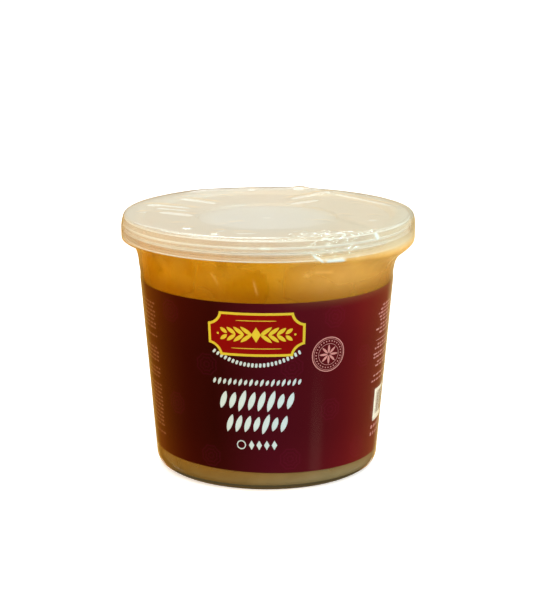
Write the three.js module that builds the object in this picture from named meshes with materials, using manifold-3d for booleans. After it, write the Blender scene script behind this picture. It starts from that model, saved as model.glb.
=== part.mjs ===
// A round plastic tub of jaggery blocks: a thin clear tub, a press-on lid, a wrap-round
// label, the blocks themselves, and a loose shrink film over the lid and the wall.
//
// Millimetres, +Z up. The origin is the centre of the foot ring, on the surface that
// the tub stands on, and the front of the label faces -Y. Every turned piece is given
// as a closed section of [radius, height] points and is spun round Z.

import * as THREE from 'three';
import { mergeVertices } from 'three/addons/utils/BufferGeometryUtils.js';
import Module from 'manifold-3d';

const wasm = await Module();
wasm.setup();

// ---------------------------------------------------------------- driving dimensions

const SEGMENTS = 60;
const HEIGHT = 104.3;

// The cone that the packed wall follows, film included.
const FLOOR_RADIUS = 45.1;
const WALL_DRAFT = 0.082;

// Skins, walls and the air between them.
const FILM = 0.2;
const LABEL = 0.25;
const TUB_WALL = 0.9;
const LID_WALL = 0.9;
const SKIN_GAP = 0.12;
const FOOD_GAP = 0.3;

// Tub.
const CORNER_RADIUS = 4.8;
const FOOT_WIDTH = 1.8;
const BASE_RECESS = 1.4;
const RIM_TOP = 103.2;
const RIM_RADIUS = 57;
const RIM_LIP_BOTTOM = 97.5;

// Lid.
const LID_TOP = HEIGHT;
const LID_BOTTOM = 95.3;
const LID_RADIUS = 58.5;
const RIB_BOTTOM = 99.1;
const RIB_TOP = 101.1;
const LID_RIM_INNER = 51.6;
const LID_PANEL_RADIUS = 49.6;
const LID_PANEL_TOP = 102.5;
const LID_DISC_RADIUS = 28;
const LID_DISC_TOP = 101.6;

// Label.
const LABEL_TOP = 77.9;
const LABEL_BOTTOM = 8.75;
const LABEL_SLOPE = 0.024;

// Film: taut round most of the tub and slack on the +X side, where it stands off the lid
// and hangs in a curve from the lid's edge to the wall.
const TAUT = {
  shoulder: 57.7, upper: 58.4, lid: 58.85, hemTop: 95, hemBottom: 84, hang: 1, flare: 12, pull: 0.6,
};
const SLACK = {
  shoulder: 59, upper: 59.8, lid: 59.95, hemTop: 95, hemBottom: 82.5, hang: 4, flare: 8, pull: 0.4,
};
const SLACK_FULL_ANGLE = 25;
const SLACK_END_ANGLE = 78;
const FILM_END_ANGLE = -45;
const FILM_RIPPLE = 0.1;
const FOLDS = [
  { angle: 75, spread: 4, height: 1.8 },
  { angle: 122, spread: 10, height: 0.7 },
];

// Blocks: depth, width and height of the usual one, and the rings of those that show
// under the label, above it, and through the lid.
const SEED = 20;
const BLOCK_SIZE = [22, 27, 20];
const BLOCK_ROUNDNESS = 0.62;
const BLOCK_RINGS = [
  { count: 9, radius: 35, height: 11, lift: 2, scale: 0.95 },
  { count: 10, radius: 41, height: 85, lift: 5, scale: 1 },
  { count: 5, radius: 22, height: 87, lift: 4, scale: 0.95 },
  { count: 1, radius: 2, height: 86, lift: 2, scale: 1 },
];
const CORE_TOP = 85;

// ---------------------------------------------------------------- section helpers

const radians = THREE.MathUtils.degToRad;

/** Radius of the outermost skin at a height. */
const outline = (z) => FLOOR_RADIUS + WALL_DRAFT * z;

const labelOuter = (z) => outline(z) - FILM - SKIN_GAP;
const tubOuter = (z) => labelOuter(z) - LABEL - SKIN_GAP;

/** Points of an arc about [r, z], from one angle to another in degrees. */
function arc([r, z], radius, from, to, steps) {
  return Array.from({ length: steps + 1 }, (_, i) => {
    const a = radians(from + ((to - from) * i) / steps);
    return [r + radius * Math.cos(a), z + radius * Math.sin(a)];
  });
}

/** Rounded corner between a floor and a leaning wall, from an angle in degrees up to the wall. */
function footCorner(wallRadius, floor, radius, steps, from = -90) {
  const lean = Math.atan(WALL_DRAFT);
  const height = floor + radius;
  const centre = [wallRadius(height) - radius / Math.cos(lean), height];
  return arc(centre, radius, from, -THREE.MathUtils.radToDeg(lean), steps);
}

/** Point on a cubic curve. */
function cubic(a, b, c, d, t) {
  const s = 1 - t;
  const weights = [s ** 3, 3 * s * s * t, 3 * s * t * t, t ** 3];
  return [0, 1].map((k) => [a, b, c, d].reduce((sum, p, i) => sum + weights[i] * p[k], 0));
}

/** Closed section spun round Z. */
function spin(section, segments = SEGMENTS) {
  const points = section.map(([r, z]) => new THREE.Vector2(Math.max(r, 0), z));
  return new THREE.LatheGeometry(points, segments).rotateX(Math.PI / 2);
}

/** Moves each corner of a spun geometry by a rule on its angle and its place in the section. */
function reshape(geometry, count, rule) {
  const position = geometry.getAttribute('position');
  for (let k = 0; k < position.count; k += 1) {
    const angle = (Math.floor(k / count) * 2 * Math.PI) / SEGMENTS - Math.PI / 2;
    const [r, z] = rule(angle, k % count);
    position.setXYZ(k, r * Math.cos(angle), r * Math.sin(angle), z);
  }
  return geometry;
}

// ---------------------------------------------------------------- turned pieces

/** Thin tub: foot ring, drafted wall, flat flange and turned-down lip. */
function tubGeometry() {
  const inner = (z) => tubOuter(z) - TUB_WALL;
  const outerCorner = footCorner(tubOuter, 0, CORNER_RADIUS, 4);
  const innerCorner = footCorner(inner, BASE_RECESS + TUB_WALL, CORNER_RADIUS - TUB_WALL, 3);
  const footRadius = outerCorner[0][0];
  const flangeBottom = RIM_TOP - TUB_WALL;
  return spin([
    [0, BASE_RECESS],
    [footRadius - FOOT_WIDTH - BASE_RECESS / 2, BASE_RECESS],
    [footRadius - FOOT_WIDTH, 0],
    ...outerCorner,
    [tubOuter(flangeBottom), flangeBottom],
    [RIM_RADIUS - TUB_WALL, flangeBottom],
    [RIM_RADIUS - TUB_WALL, RIM_LIP_BOTTOM],
    [RIM_RADIUS, RIM_LIP_BOTTOM],
    ...arc([RIM_RADIUS - 1, RIM_TOP - 1], 1, 0, 90, 2),
    [inner(RIM_TOP) + 0.6, RIM_TOP],
    [inner(RIM_TOP - 0.6), RIM_TOP - 0.6],
    ...innerCorner.reverse(),
    [0, BASE_RECESS + TUB_WALL],
  ]);
}

/** Press-on lid: shallow disc and panel, flat rim, ribbed skirt and a bead under the tub's lip. */
function lidGeometry() {
  const skirtInner = LID_RADIUS - LID_WALL - 0.2;
  const under = (height) => height - LID_WALL;
  return spin([
    [0, under(LID_DISC_TOP)],
    [LID_DISC_RADIUS + 0.5, under(LID_DISC_TOP)],
    [LID_DISC_RADIUS + 1.1, under(LID_PANEL_TOP)],
    [LID_PANEL_RADIUS + 0.5, under(LID_PANEL_TOP)],
    [LID_RIM_INNER + 0.5, under(LID_TOP)],
    [skirtInner - 0.5, under(LID_TOP)],
    [skirtInner, under(LID_TOP) - 0.5],
    [skirtInner, LID_BOTTOM + 1.8],
    [skirtInner - 0.5, LID_BOTTOM + 1.3],
    [skirtInner, LID_BOTTOM],
    [LID_RADIUS, LID_BOTTOM],
    [LID_RADIUS, LID_BOTTOM + 0.6],
    [LID_RADIUS - 0.35, LID_BOTTOM + 0.9],
    [LID_RADIUS - 0.5, RIB_BOTTOM - 0.3],
    [LID_RADIUS - 0.1, RIB_BOTTOM],
    [LID_RADIUS - 0.35, RIB_TOP],
    [LID_RADIUS - 0.8, RIB_TOP + 0.3],
    ...arc([LID_RADIUS - 2.3, LID_TOP - 1.5], 1.5, 0, 90, 3),
    [LID_RIM_INNER, LID_TOP],
    [LID_PANEL_RADIUS, LID_PANEL_TOP],
    [LID_DISC_RADIUS + 0.7, LID_PANEL_TOP],
    [LID_DISC_RADIUS, LID_DISC_TOP],
    [0, LID_DISC_TOP],
  ]);
}

/** Wrap-round label, its lower edge running down towards +X. */
function labelGeometry() {
  const section = [
    [labelOuter(LABEL_BOTTOM) - LABEL, LABEL_BOTTOM],
    [labelOuter(LABEL_BOTTOM), LABEL_BOTTOM],
    [labelOuter(LABEL_TOP), LABEL_TOP],
    [labelOuter(LABEL_TOP) - LABEL, LABEL_TOP],
    [labelOuter(LABEL_BOTTOM) - LABEL, LABEL_BOTTOM],
  ];
  return reshape(spin(section), section.length, (angle, j) => {
    const [r, z] = section[j];
    const drop = z === LABEL_BOTTOM ? LABEL_SLOPE * r * Math.cos(angle) : 0;
    return [r - WALL_DRAFT * drop, z - drop];
  });
}

// ---------------------------------------------------------------- shrink film

/** Outer line of the film, from the middle of the lid down to its open bottom edge. */
function filmOuterLine(slack) {
  const fit = (name) => THREE.MathUtils.lerp(TAUT[name], SLACK[name], slack);
  const top = LID_TOP + SKIN_GAP + FILM;
  const lidEdge = [fit('lid'), fit('hemTop')];
  const wallEdge = [outline(fit('hemBottom')), fit('hemBottom')];
  const belowLid = [lidEdge[0], lidEdge[1] - fit('hang')];
  const aboveWall = [wallEdge[0] + fit('pull'), wallEdge[1] + fit('flare')];
  return [
    [0, top],
    [LID_DISC_RADIUS, top],
    [LID_PANEL_RADIUS, top],
    [LID_RADIUS - 2.1, top],
    [fit('shoulder'), top - 0.5],
    [fit('upper'), RIB_TOP + 1.1],
    [fit('lid'), RIB_BOTTOM + 0.4],
    lidEdge,
    ...[0.25, 0.5, 0.75].map((t) => cubic(lidEdge, belowLid, aboveWall, wallEdge, t)),
    wallEdge,
    [outline(HEIGHT / 2), HEIGHT / 2],
    ...footCorner(outline, 0, CORNER_RADIUS + 0.5, 2, FILM_END_ANGLE).reverse(),
  ];
}

/** Inner line of the film: the outer line stepped inwards by the film's thickness. */
function filmInnerLine(outer) {
  return outer.map(([r, z], i) => {
    const [r0, z0] = outer[Math.max(i - 1, 0)];
    const [r1, z1] = outer[Math.min(i + 1, outer.length - 1)];
    const length = Math.hypot(r1 - r0, z1 - z0);
    const inward = i === 0 ? [0, -1] : [(z1 - z0) / length, -(r1 - r0) / length];
    return [r + FILM * inward[0], z + FILM * inward[1]];
  });
}

/** How slack the film hangs at an angle, from 0 where it is taut to 1. */
function slackAt(angle) {
  const away = Math.abs(THREE.MathUtils.radToDeg(Math.atan2(Math.sin(angle), Math.cos(angle))));
  return 1 - THREE.MathUtils.smoothstep(away, SLACK_FULL_ANGLE, SLACK_END_ANGLE);
}

/** Height that the folds at the back of the rim add to the film. */
function foldHeight(angle) {
  return FOLDS.reduce((sum, fold) => {
    const away = (angle - radians(fold.angle)) / radians(fold.spread);
    return sum + fold.height * Math.exp(-(away ** 2));
  }, 0);
}

/** Film hood with a slack side, an uneven top and folds at the back of the rim. */
function filmGeometry() {
  const sectionAt = (slack) => {
    const outer = filmOuterLine(slack);
    return [...filmInnerLine(outer), ...outer.reverse()];
  };
  const taut = sectionAt(0);
  return reshape(spin(taut), taut.length, (angle, j) => {
    const [r, z] = sectionAt(slackAt(angle))[j];
    const onLid = z > LID_TOP - 0.3 && r > 1;
    const onRim = onLid && r > LID_RIM_INNER;
    const ripple = onLid ? FILM_RIPPLE * (1 + Math.sin(5 * angle + r / 7)) : 0;
    return [r, z + ripple + (onRim ? foldHeight(angle) : 0)];
  });
}

// ---------------------------------------------------------------- jaggery blocks

/** Repeatable random numbers from 0 to 1. */
function randomFrom(seed) {
  let state = seed;
  return () => {
    state = (state * 16807) % 2147483647;
    return state / 2147483647;
  };
}

const FOOD_FLOOR = BASE_RECESS + TUB_WALL + FOOD_GAP;
const FOOD_CEILING = LID_DISC_TOP - LID_WALL - FOOD_GAP;

/** Largest radius that food can have at a height inside the tub. */
function foodRadius(z) {
  const centre = BASE_RECESS + CORNER_RADIUS;
  const radius = centre - FOOD_FLOOR;
  const wall = (height) => tubOuter(height) - TUB_WALL - FOOD_GAP;
  return z >= centre ? wall(z) : wall(centre) - radius + Math.sqrt(radius ** 2 - (centre - z) ** 2);
}

/** Rounded lump, turned and placed, and pressed flat where it meets the tub. */
function blockGeometry(size, turn, place) {
  const geometry = new THREE.BoxGeometry(1, 1, 1, 3, 3, 3);
  const position = geometry.getAttribute('position');
  const rotation = new THREE.Euler(...turn, 'ZYX');
  const corner = new THREE.Vector3();
  const ball = new THREE.Vector3();
  for (let k = 0; k < position.count; k += 1) {
    corner.fromBufferAttribute(position, k);
    ball.copy(corner).setLength(0.62);
    corner.lerp(ball, BLOCK_ROUNDNESS).multiply(new THREE.Vector3(...size));
    corner.applyEuler(rotation).add(place);
    corner.z = THREE.MathUtils.clamp(corner.z, FOOD_FLOOR, FOOD_CEILING);
    const reach = foodRadius(corner.z) / Math.hypot(corner.x, corner.y);
    if (reach < 1) {
      corner.x *= reach;
      corner.y *= reach;
    }
    position.setXYZ(k, corner.x, corner.y, corner.z);
  }
  return geometry;
}

/** Ring of lumps, each uneven in size, turn and height. */
function blockRing({ count, radius, height, lift, scale }, random) {
  return Array.from({ length: count }, (_, k) => {
    const vary = (amount) => amount * (random() - 0.5);
    const angle = ((k + vary(0.35)) * 2 * Math.PI) / count;
    const size = BLOCK_SIZE.map((length) => length * scale * (1 + vary(0.24)));
    const turn = [vary(0.5), vary(0.4), angle + vary(0.5)];
    const out = radius + vary(2);
    const place = new THREE.Vector3(out * Math.cos(angle), out * Math.sin(angle), height + vary(lift));
    return blockGeometry(size, turn, place);
  });
}

/** Plain core behind the label and under the lumps that show. */
function coreGeometry() {
  const floor = FOOD_FLOOR + 0.7;
  const section = [
    [0, floor],
    [31, floor],
    [35, 16],
    [foodRadius(20) - 0.8, 21],
    [foodRadius(70) - 0.8, 72],
    [40, 77],
    [36, CORE_TOP],
    [0, CORE_TOP],
  ];
  return spin(section, SEGMENTS / 2);
}

/** Geometry as a solid for joining. */
function solid(geometry) {
  const bare = geometry.clone().deleteAttribute('normal').deleteAttribute('uv');
  const merged = mergeVertices(bare, 1e-4);
  return new wasm.Manifold(
    new wasm.Mesh({
      numProp: 3,
      vertProperties: merged.getAttribute('position').array,
      triVerts: new Uint32Array(merged.index.array),
    }),
  );
}

/** Core and lumps joined into one body, without any pocket that the joining seals. */
function blocksGeometry() {
  const random = randomFrom(SEED);
  const lumps = BLOCK_RINGS.flatMap((ring) => blockRing(ring, random));
  const joined = lumps.reduce((body, lump) => body.add(solid(lump)), solid(coreGeometry()));
  const [largest] = joined.decompose().sort((a, b) => b.volume() - a.volume());
  const mesh = largest.getMesh();
  const geometry = new THREE.BufferGeometry();
  geometry.setAttribute('position', new THREE.BufferAttribute(mesh.vertProperties, 3));
  geometry.setIndex(new THREE.BufferAttribute(mesh.triVerts, 1));
  geometry.computeVertexNormals();
  return geometry;
}

// ---------------------------------------------------------------- finishes and assembly

const finishes = {
  tub: { color: 0xe9dcc2, roughness: 0.45, transparent: true, opacity: 0.45 },
  lid: { color: 0xe6dcc8, roughness: 0.4, transparent: true, opacity: 0.8 },
  label: { color: 0x4a0f14, roughness: 0.3 },
  jaggery_blocks: { color: 0xb87412, roughness: 0.5 },
  film: { color: 0xffffff, roughness: 0.12, transparent: true, opacity: 0.15 },
};

/** Named mesh with a finish of its own. */
function piece(name, geometry) {
  const finish = new THREE.MeshStandardMaterial({ metalness: 0, ...finishes[name] });
  const mesh = new THREE.Mesh(geometry, finish);
  mesh.name = name;
  return mesh;
}

const jaggeryTub = new THREE.Group();
jaggeryTub.add(
  piece('tub', tubGeometry()),
  piece('lid', lidGeometry()),
  piece('label', labelGeometry()),
  piece('jaggery_blocks', blocksGeometry()),
  piece('film', filmGeometry()),
);

export default jaggeryTub;
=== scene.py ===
"""A round plastic tub of jaggery blocks, dressed for pictures.

The tub is frosted and its lid milky. A printed label wraps right round the wall, and a
thin shrink film covers the lid and the wall. Lengths are metres, +Z is up and the front
of the label faces -Y. A turned piece is drawn as a section of (radius, height) points
and spun round Z.
"""

from __future__ import annotations

import logging
import math
from collections.abc import Callable, Iterator, Sequence
from contextlib import contextmanager
from dataclasses import dataclass
from enum import Enum

import bpy
import numpy as np
from mathutils import Euler, Matrix, Vector, noise


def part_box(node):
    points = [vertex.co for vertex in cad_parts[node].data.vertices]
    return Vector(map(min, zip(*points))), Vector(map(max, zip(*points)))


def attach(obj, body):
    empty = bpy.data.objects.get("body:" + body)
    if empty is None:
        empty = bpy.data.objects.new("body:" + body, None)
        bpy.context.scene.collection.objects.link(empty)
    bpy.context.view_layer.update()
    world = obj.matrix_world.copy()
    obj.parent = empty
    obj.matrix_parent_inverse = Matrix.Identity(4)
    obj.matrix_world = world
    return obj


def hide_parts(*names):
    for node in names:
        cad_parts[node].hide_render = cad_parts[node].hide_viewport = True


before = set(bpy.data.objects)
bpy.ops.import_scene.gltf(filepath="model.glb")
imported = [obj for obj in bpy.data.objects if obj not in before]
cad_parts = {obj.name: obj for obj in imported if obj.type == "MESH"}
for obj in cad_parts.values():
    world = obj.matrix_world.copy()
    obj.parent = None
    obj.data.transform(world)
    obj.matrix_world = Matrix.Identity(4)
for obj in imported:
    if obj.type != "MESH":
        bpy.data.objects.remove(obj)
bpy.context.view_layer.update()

LOG = logging.getLogger("jaggery_tub")
BODY = "root"
# Name of the point attribute that marks the painted crease highlights.
CREASE_HIGHLIGHTS = "crease"

MM = 0.001
MERGE = 0.0005 * MM

Point = tuple[float, float]
Line = list[Point]
Colour = tuple[float, float, float]
Object = bpy.types.Object


# ------------------------------------------------------------------ small sums


def lerp(a: float, b: float, t: float) -> float:
    """The value a share t of the way from a to b."""
    return a + (b - a) * t


def smoothstep(x: np.ndarray | float, low: float, high: float) -> np.ndarray | float:
    """Smooth rise from 0 at low to 1 at high."""
    t = np.clip((x - low) / (high - low), 0.0, 1.0)
    return t * t * (3 - 2 * t)


def arc(centre: Point, radius: float, start: float, end: float, steps: int) -> Line:
    """Points of an arc.

    Args:
        centre: Middle of the arc, as radius and height.
        radius: Radius of the arc.
        start: First angle, in degrees.
        end: Last angle, in degrees.
        steps: Number of chords.

    Returns:
        The points, both ends included.
    """
    angles = (math.radians(lerp(start, end, i / steps)) for i in range(steps + 1))
    return [(centre[0] + radius * math.cos(a), centre[1] + radius * math.sin(a)) for a in angles]


def cubic(a: Point, b: Point, c: Point, d: Point, steps: int) -> Line:
    """Points of a cubic curve, without its first one.

    Args:
        a: Start of the curve.
        b: Point that the curve starts towards.
        c: Point that the curve ends away from.
        d: End of the curve.
        steps: Number of chords.

    Returns:
        The points.
    """
    points = []
    for i in range(1, steps + 1):
        t = i / steps
        s = 1 - t
        weights = (s**3, 3 * s * s * t, 3 * s * t * t, t**3)
        points.append(tuple(sum(w * p[k] for w, p in zip(weights, (a, b, c, d))) for k in (0, 1)))
    return points


def straight(a: Point, b: Point, steps: int) -> Line:
    """Evenly spaced points from a to b, without a itself."""
    return [(lerp(a[0], b[0], i / steps), lerp(a[1], b[1], i / steps)) for i in range(1, steps + 1)]


def through(points: Line, steps: int) -> Line:
    """Smooth curve through points, without the first one.

    Args:
        points: The points to pass.
        steps: Number of chords from point to point.

    Returns:
        The curve's points.
    """
    padded = [points[0], *points, points[-1]]
    curve = []
    for k in range(len(points) - 1):
        p0, p1, p2, p3 = padded[k : k + 4]
        first = tuple(p1[n] + (p2[n] - p0[n]) / 6 for n in (0, 1))
        second = tuple(p2[n] - (p3[n] - p1[n]) / 6 for n in (0, 1))
        curve += cubic(p1, first, second, p2, steps)
    return curve


class Draw:
    """Repeatable random numbers."""

    def __init__(self, seed: int) -> None:
        """Starts the row of numbers at seed."""
        self.state = seed

    def share(self) -> float:
        """The next number from 0 to 1."""
        self.state = self.state * 16807 % 2147483647
        return self.state / 2147483647

    def vary(self, amount: float) -> float:
        """The next number within half of amount either side of 0."""
        return amount * (self.share() - 0.5)

    def between(self, low: float, high: float) -> float:
        """The next number from low to high."""
        return lerp(low, high, self.share())


# ------------------------------------------------------------------ modelling by hand


def pick(*objects: Object) -> None:
    """Selects these pieces and nothing else, with the first one active."""
    bpy.ops.object.select_all(action="DESELECT")
    for obj in objects:
        obj.select_set(True)
    if objects:
        bpy.context.view_layer.objects.active = objects[0]


@contextmanager
def editing(obj: Object) -> Iterator[None]:
    """Edit mode on one object, with all of it selected."""
    pick(obj)
    bpy.ops.object.mode_set(mode="EDIT")
    bpy.ops.mesh.select_all(action="SELECT")
    yield
    bpy.ops.object.mode_set(mode="OBJECT")


def named(name: str) -> Object:
    """The object that was just added, given a name."""
    obj = bpy.context.object
    obj.name = obj.data.name = name
    return obj


def smooth(obj: Object, angle: float = 40.0) -> None:
    """Shades obj smooth, apart from edges sharper than angle in degrees."""
    pick(obj)
    bpy.ops.object.shade_smooth_by_angle(angle=math.radians(angle))


def turned(name: str, section: Line, steps: int, numbered: bool = False) -> Object:
    """Turns a piece from its section.

    Args:
        name: The piece's name.
        section: Points of (radius, height), with the outside on the right of their way.
        steps: Number of faces round the piece.
        numbered: Whether each point keeps its number in the section, as "along".

    Returns:
        The piece.
    """
    pick()
    bpy.ops.mesh.primitive_plane_add(size=MM)
    obj = named(name)
    with editing(obj):
        bpy.ops.mesh.merge(type="CENTER")
        here = (0.0, 0.0)
        for place, point in enumerate(section):
            step = (point[0] - here[0], 0.0, point[1] - here[1])
            if place == 0:
                bpy.ops.transform.translate(value=step)
            else:
                bpy.ops.mesh.extrude_vertices_move(TRANSFORM_OT_translate={"value": step})
            here = point
    if numbered:
        along = obj.data.attributes.new("along", "FLOAT", "POINT")
        along.data.foreach_set("value", np.arange(len(section), dtype=np.float32))
    with editing(obj):
        bpy.ops.mesh.spin(steps=steps, angle=math.tau, center=(0, 0, 0), axis=(0, 0, 1))
        bpy.ops.mesh.select_all(action="SELECT")
        bpy.ops.mesh.remove_doubles(threshold=MERGE)
    smooth(obj)
    return obj


def points_of(obj: Object) -> np.ndarray:
    """The places of a mesh's points, one row each."""
    flat = np.empty(len(obj.data.vertices) * 3)
    obj.data.vertices.foreach_get("co", flat)
    return flat.reshape(-1, 3)


def set_points(obj: Object, points: np.ndarray) -> None:
    """Moves a mesh's points to new places, one row each."""
    obj.data.vertices.foreach_set("co", points.ravel())
    obj.data.update()


def copy_of(master: Object, matrix: Matrix) -> Object:
    """Copy of a piece with its own mesh.

    Args:
        master: The piece to copy.
        matrix: Where the copy goes.

    Returns:
        The copy.
    """
    mesh = master.data.copy()
    mesh.transform(matrix)
    copy = bpy.data.objects.new(master.name, mesh)
    bpy.context.scene.collection.objects.link(copy)
    return copy


def joined(name: str, parts: Sequence[Object]) -> Object:
    """One piece made of several."""
    pick(*parts)
    bpy.ops.object.join()
    return named(name)


def bake_modifier(obj: Object, kind: str, **settings: object) -> None:
    """Adds a modifier to a piece and applies it.

    Args:
        obj: The piece.
        kind: The modifier's type.
        settings: Its settings.
    """
    pick(obj)
    modifier = obj.modifiers.new(kind.title(), kind)
    for name, value in settings.items():
        setattr(modifier, name, value)
    bpy.ops.object.modifier_apply(modifier=modifier.name)


def remove(*objects: Object) -> None:
    """Deletes pieces that were only patterns for others."""
    for obj in objects:
        bpy.data.meshes.remove(obj.data)


# ------------------------------------------------------------------ shader sums


def _sum_of(operation: str, swapped: bool = False) -> Callable[[Wire, Wire | float], Wire]:
    """Operator of Wire that adds one Math node.

    Args:
        operation: The node's operation.
        swapped: Whether the other value comes first.

    Returns:
        The operator.
    """

    def operator(self: Wire, other: Wire | float) -> Wire:
        """The node's result."""
        return self.sum(operation, *((other, self) if swapped else (self, other)))

    return operator


class Wire:
    """A number that leaves a node, so that shader sums read as Python sums."""

    __add__ = _sum_of("ADD")
    __radd__ = _sum_of("ADD", swapped=True)
    __sub__ = _sum_of("SUBTRACT")
    __rsub__ = _sum_of("SUBTRACT", swapped=True)
    __mul__ = _sum_of("MULTIPLY")
    __rmul__ = _sum_of("MULTIPLY", swapped=True)
    __truediv__ = _sum_of("DIVIDE")
    __pow__ = _sum_of("POWER")

    def __init__(self, graph: Graph, socket: bpy.types.NodeSocket) -> None:
        """Wraps a socket of graph."""
        self.graph = graph
        self.socket = socket

    def sum(self, operation: str, *values: Wire | float) -> Wire:
        """The result of one Math node."""
        return self.graph.node("ShaderNodeMath", {"operation": operation}, dict(enumerate(values)))

    def size(self) -> Wire:
        """Self without its sign."""
        return self.sum("ABSOLUTE", self)

    def within(self, low: Point, high: Point) -> Wire:
        """Soft band: rises over the two places of low and falls over those of high."""
        return self.rise(*low) * (1 - self.rise(*high))

    def stripe(self, middle: float, half: float) -> Wire:
        """Soft stripe: 1 where self is at middle, 0 from half a stripe away."""
        return 1 - (self - middle).size().rise(0.4 * half, half)

    def rise(self, low: float, high: float) -> Wire:
        """Smooth rise from 0 where self is low to 1 where it is high."""
        sockets = {0: self, 1: low, 2: high}
        return self.graph.node("ShaderNodeMapRange", {"interpolation_type": "SMOOTHSTEP"}, sockets)


class Graph:
    """The node graph of a material or of the world."""

    def __init__(self, tree: bpy.types.NodeTree) -> None:
        """Starts an empty graph in tree."""
        self.tree = tree
        tree.nodes.clear()

    def node(
        self,
        kind: str,
        settings: dict[str, object] | None = None,
        sockets: dict[int | str, object] | None = None,
        output: int | str = 0,
    ) -> Wire:
        """Adds a node.

        Args:
            kind: The node's type.
            settings: Its settings; "stops" holds a ramp's places and colours.
            sockets: Values or wires for its inputs, by number or name.
            output: The output to go on with.

        Returns:
            That output.
        """
        made = self.tree.nodes.new(kind)
        for name, value in (settings or {}).items():
            if name == "stops":
                self._set_stops(made.color_ramp, value)
            else:
                setattr(made, name, value)
        for name, value in (sockets or {}).items():
            if isinstance(value, Wire):
                self.tree.links.new(value.socket, made.inputs[name])
            else:
                made.inputs[name].default_value = value
        return Wire(self, made.outputs[output]) if made.outputs else None

    @staticmethod
    def _set_stops(ramp: bpy.types.ColorRamp, stops: Sequence[tuple[float, Colour]]) -> None:
        """Gives a ramp its stops."""
        while len(ramp.elements) < len(stops):
            ramp.elements.new(1.0)
        for element, (place, colour) in zip(ramp.elements, stops):
            element.position = place
            element.color = (*colour, 1.0)

    def place(self) -> Wire:
        """The point being shaded, in the piece's own space."""
        return self.node("ShaderNodeTexCoord", output="Object")

    def split(self, vector: Wire) -> tuple[Wire, Wire, Wire]:
        """The three parts of a vector."""
        parts = self.node("ShaderNodeSeparateXYZ", sockets={0: vector})
        outputs = parts.socket.node.outputs
        return tuple(Wire(self, outputs[k]) for k in range(3))

    def cloud(self, size: float, detail: float = 2.0, stretch: Colour = (1, 1, 1)) -> Wire:
        """Soft noise whose blotches are about size across, from 0 to 1."""
        scaled = self.node(
            "ShaderNodeMapping", {"vector_type": "POINT"}, {"Vector": self.place(), "Scale": stretch}
        )
        return self.node(
            "ShaderNodeTexNoise", sockets={"Vector": scaled, "Scale": 1 / size, "Detail": detail}
        )

    def seams(self, size: float, bend: float) -> Wire:
        """Soft seams, 1 at their middles, between rounded patches.

        Args:
            size: Usual distance from patch to patch.
            bend: How far the seams wander.

        Returns:
            The seams.
        """
        drift = self.node(
            "ShaderNodeTexNoise", sockets={"Vector": self.place(), "Scale": 0.6 / size}, output="Color"
        )
        drift = self.node("ShaderNodeVectorMath", {"operation": "SUBTRACT"}, {0: drift, 1: (0.5, 0.5, 0.5)})
        drift = self.node("ShaderNodeVectorMath", {"operation": "SCALE"}, {0: drift, "Scale": bend})
        bent = self.node("ShaderNodeVectorMath", {"operation": "ADD"}, {0: self.place(), 1: drift})
        edge = self.node(
            "ShaderNodeTexVoronoi",
            {"feature": "DISTANCE_TO_EDGE"},
            {"Vector": bent, "Scale": 1 / size},
            "Distance",
        )
        return 1 - edge.rise(0.0, 0.3)

    def mix(self, share: Wire | float, a: Wire | Colour, b: Wire | Colour) -> Wire:
        """Mix of two colours.

        Args:
            share: How much of b there is, from 0 to 1.
            a: Colour where share is 0.
            b: Colour where share is 1.

        Returns:
            The mix.
        """
        first, second = (c if isinstance(c, Wire) else (*c, 1.0) for c in (a, b))
        return self.node("ShaderNodeMix", {"data_type": "RGBA"}, {0: share, 6: first, 7: second}, 2)

    def bump(self, height: Wire, depth: float) -> Wire:
        """Normal of a surface whose relief is depth deep."""
        return self.node("ShaderNodeBump", sockets={"Height": height, "Distance": depth})

    def plastic(self, **sockets: object) -> None:
        """Makes a Principled shader the surface; an underscore in a name stands for a space."""
        values = {}
        for name, value in sockets.items():
            is_colour = isinstance(value, tuple) and "Radius" not in name
            values[name.replace("_", " ")] = (*value, 1.0) if is_colour else value
        self.surface(self.node("ShaderNodeBsdfPrincipled", sockets=values))

    def blend(self, share: Wire | float, a: Wire, b: Wire) -> Wire:
        """Shader a where share is 0 and shader b where it is 1."""
        return self.node("ShaderNodeMixShader", sockets={0: share, 1: a, 2: b})

    def surface(self, shader: Wire) -> None:
        """Makes shader the surface that shows."""
        self.node("ShaderNodeOutputMaterial", sockets={"Surface": shader})


def new_material(name: str) -> tuple[bpy.types.Material, Graph]:
    """Empty material and its graph."""
    material = bpy.data.materials.new(name)
    material.use_nodes = True
    return material, Graph(material.node_tree)


# ------------------------------------------------------------------ finishes


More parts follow.
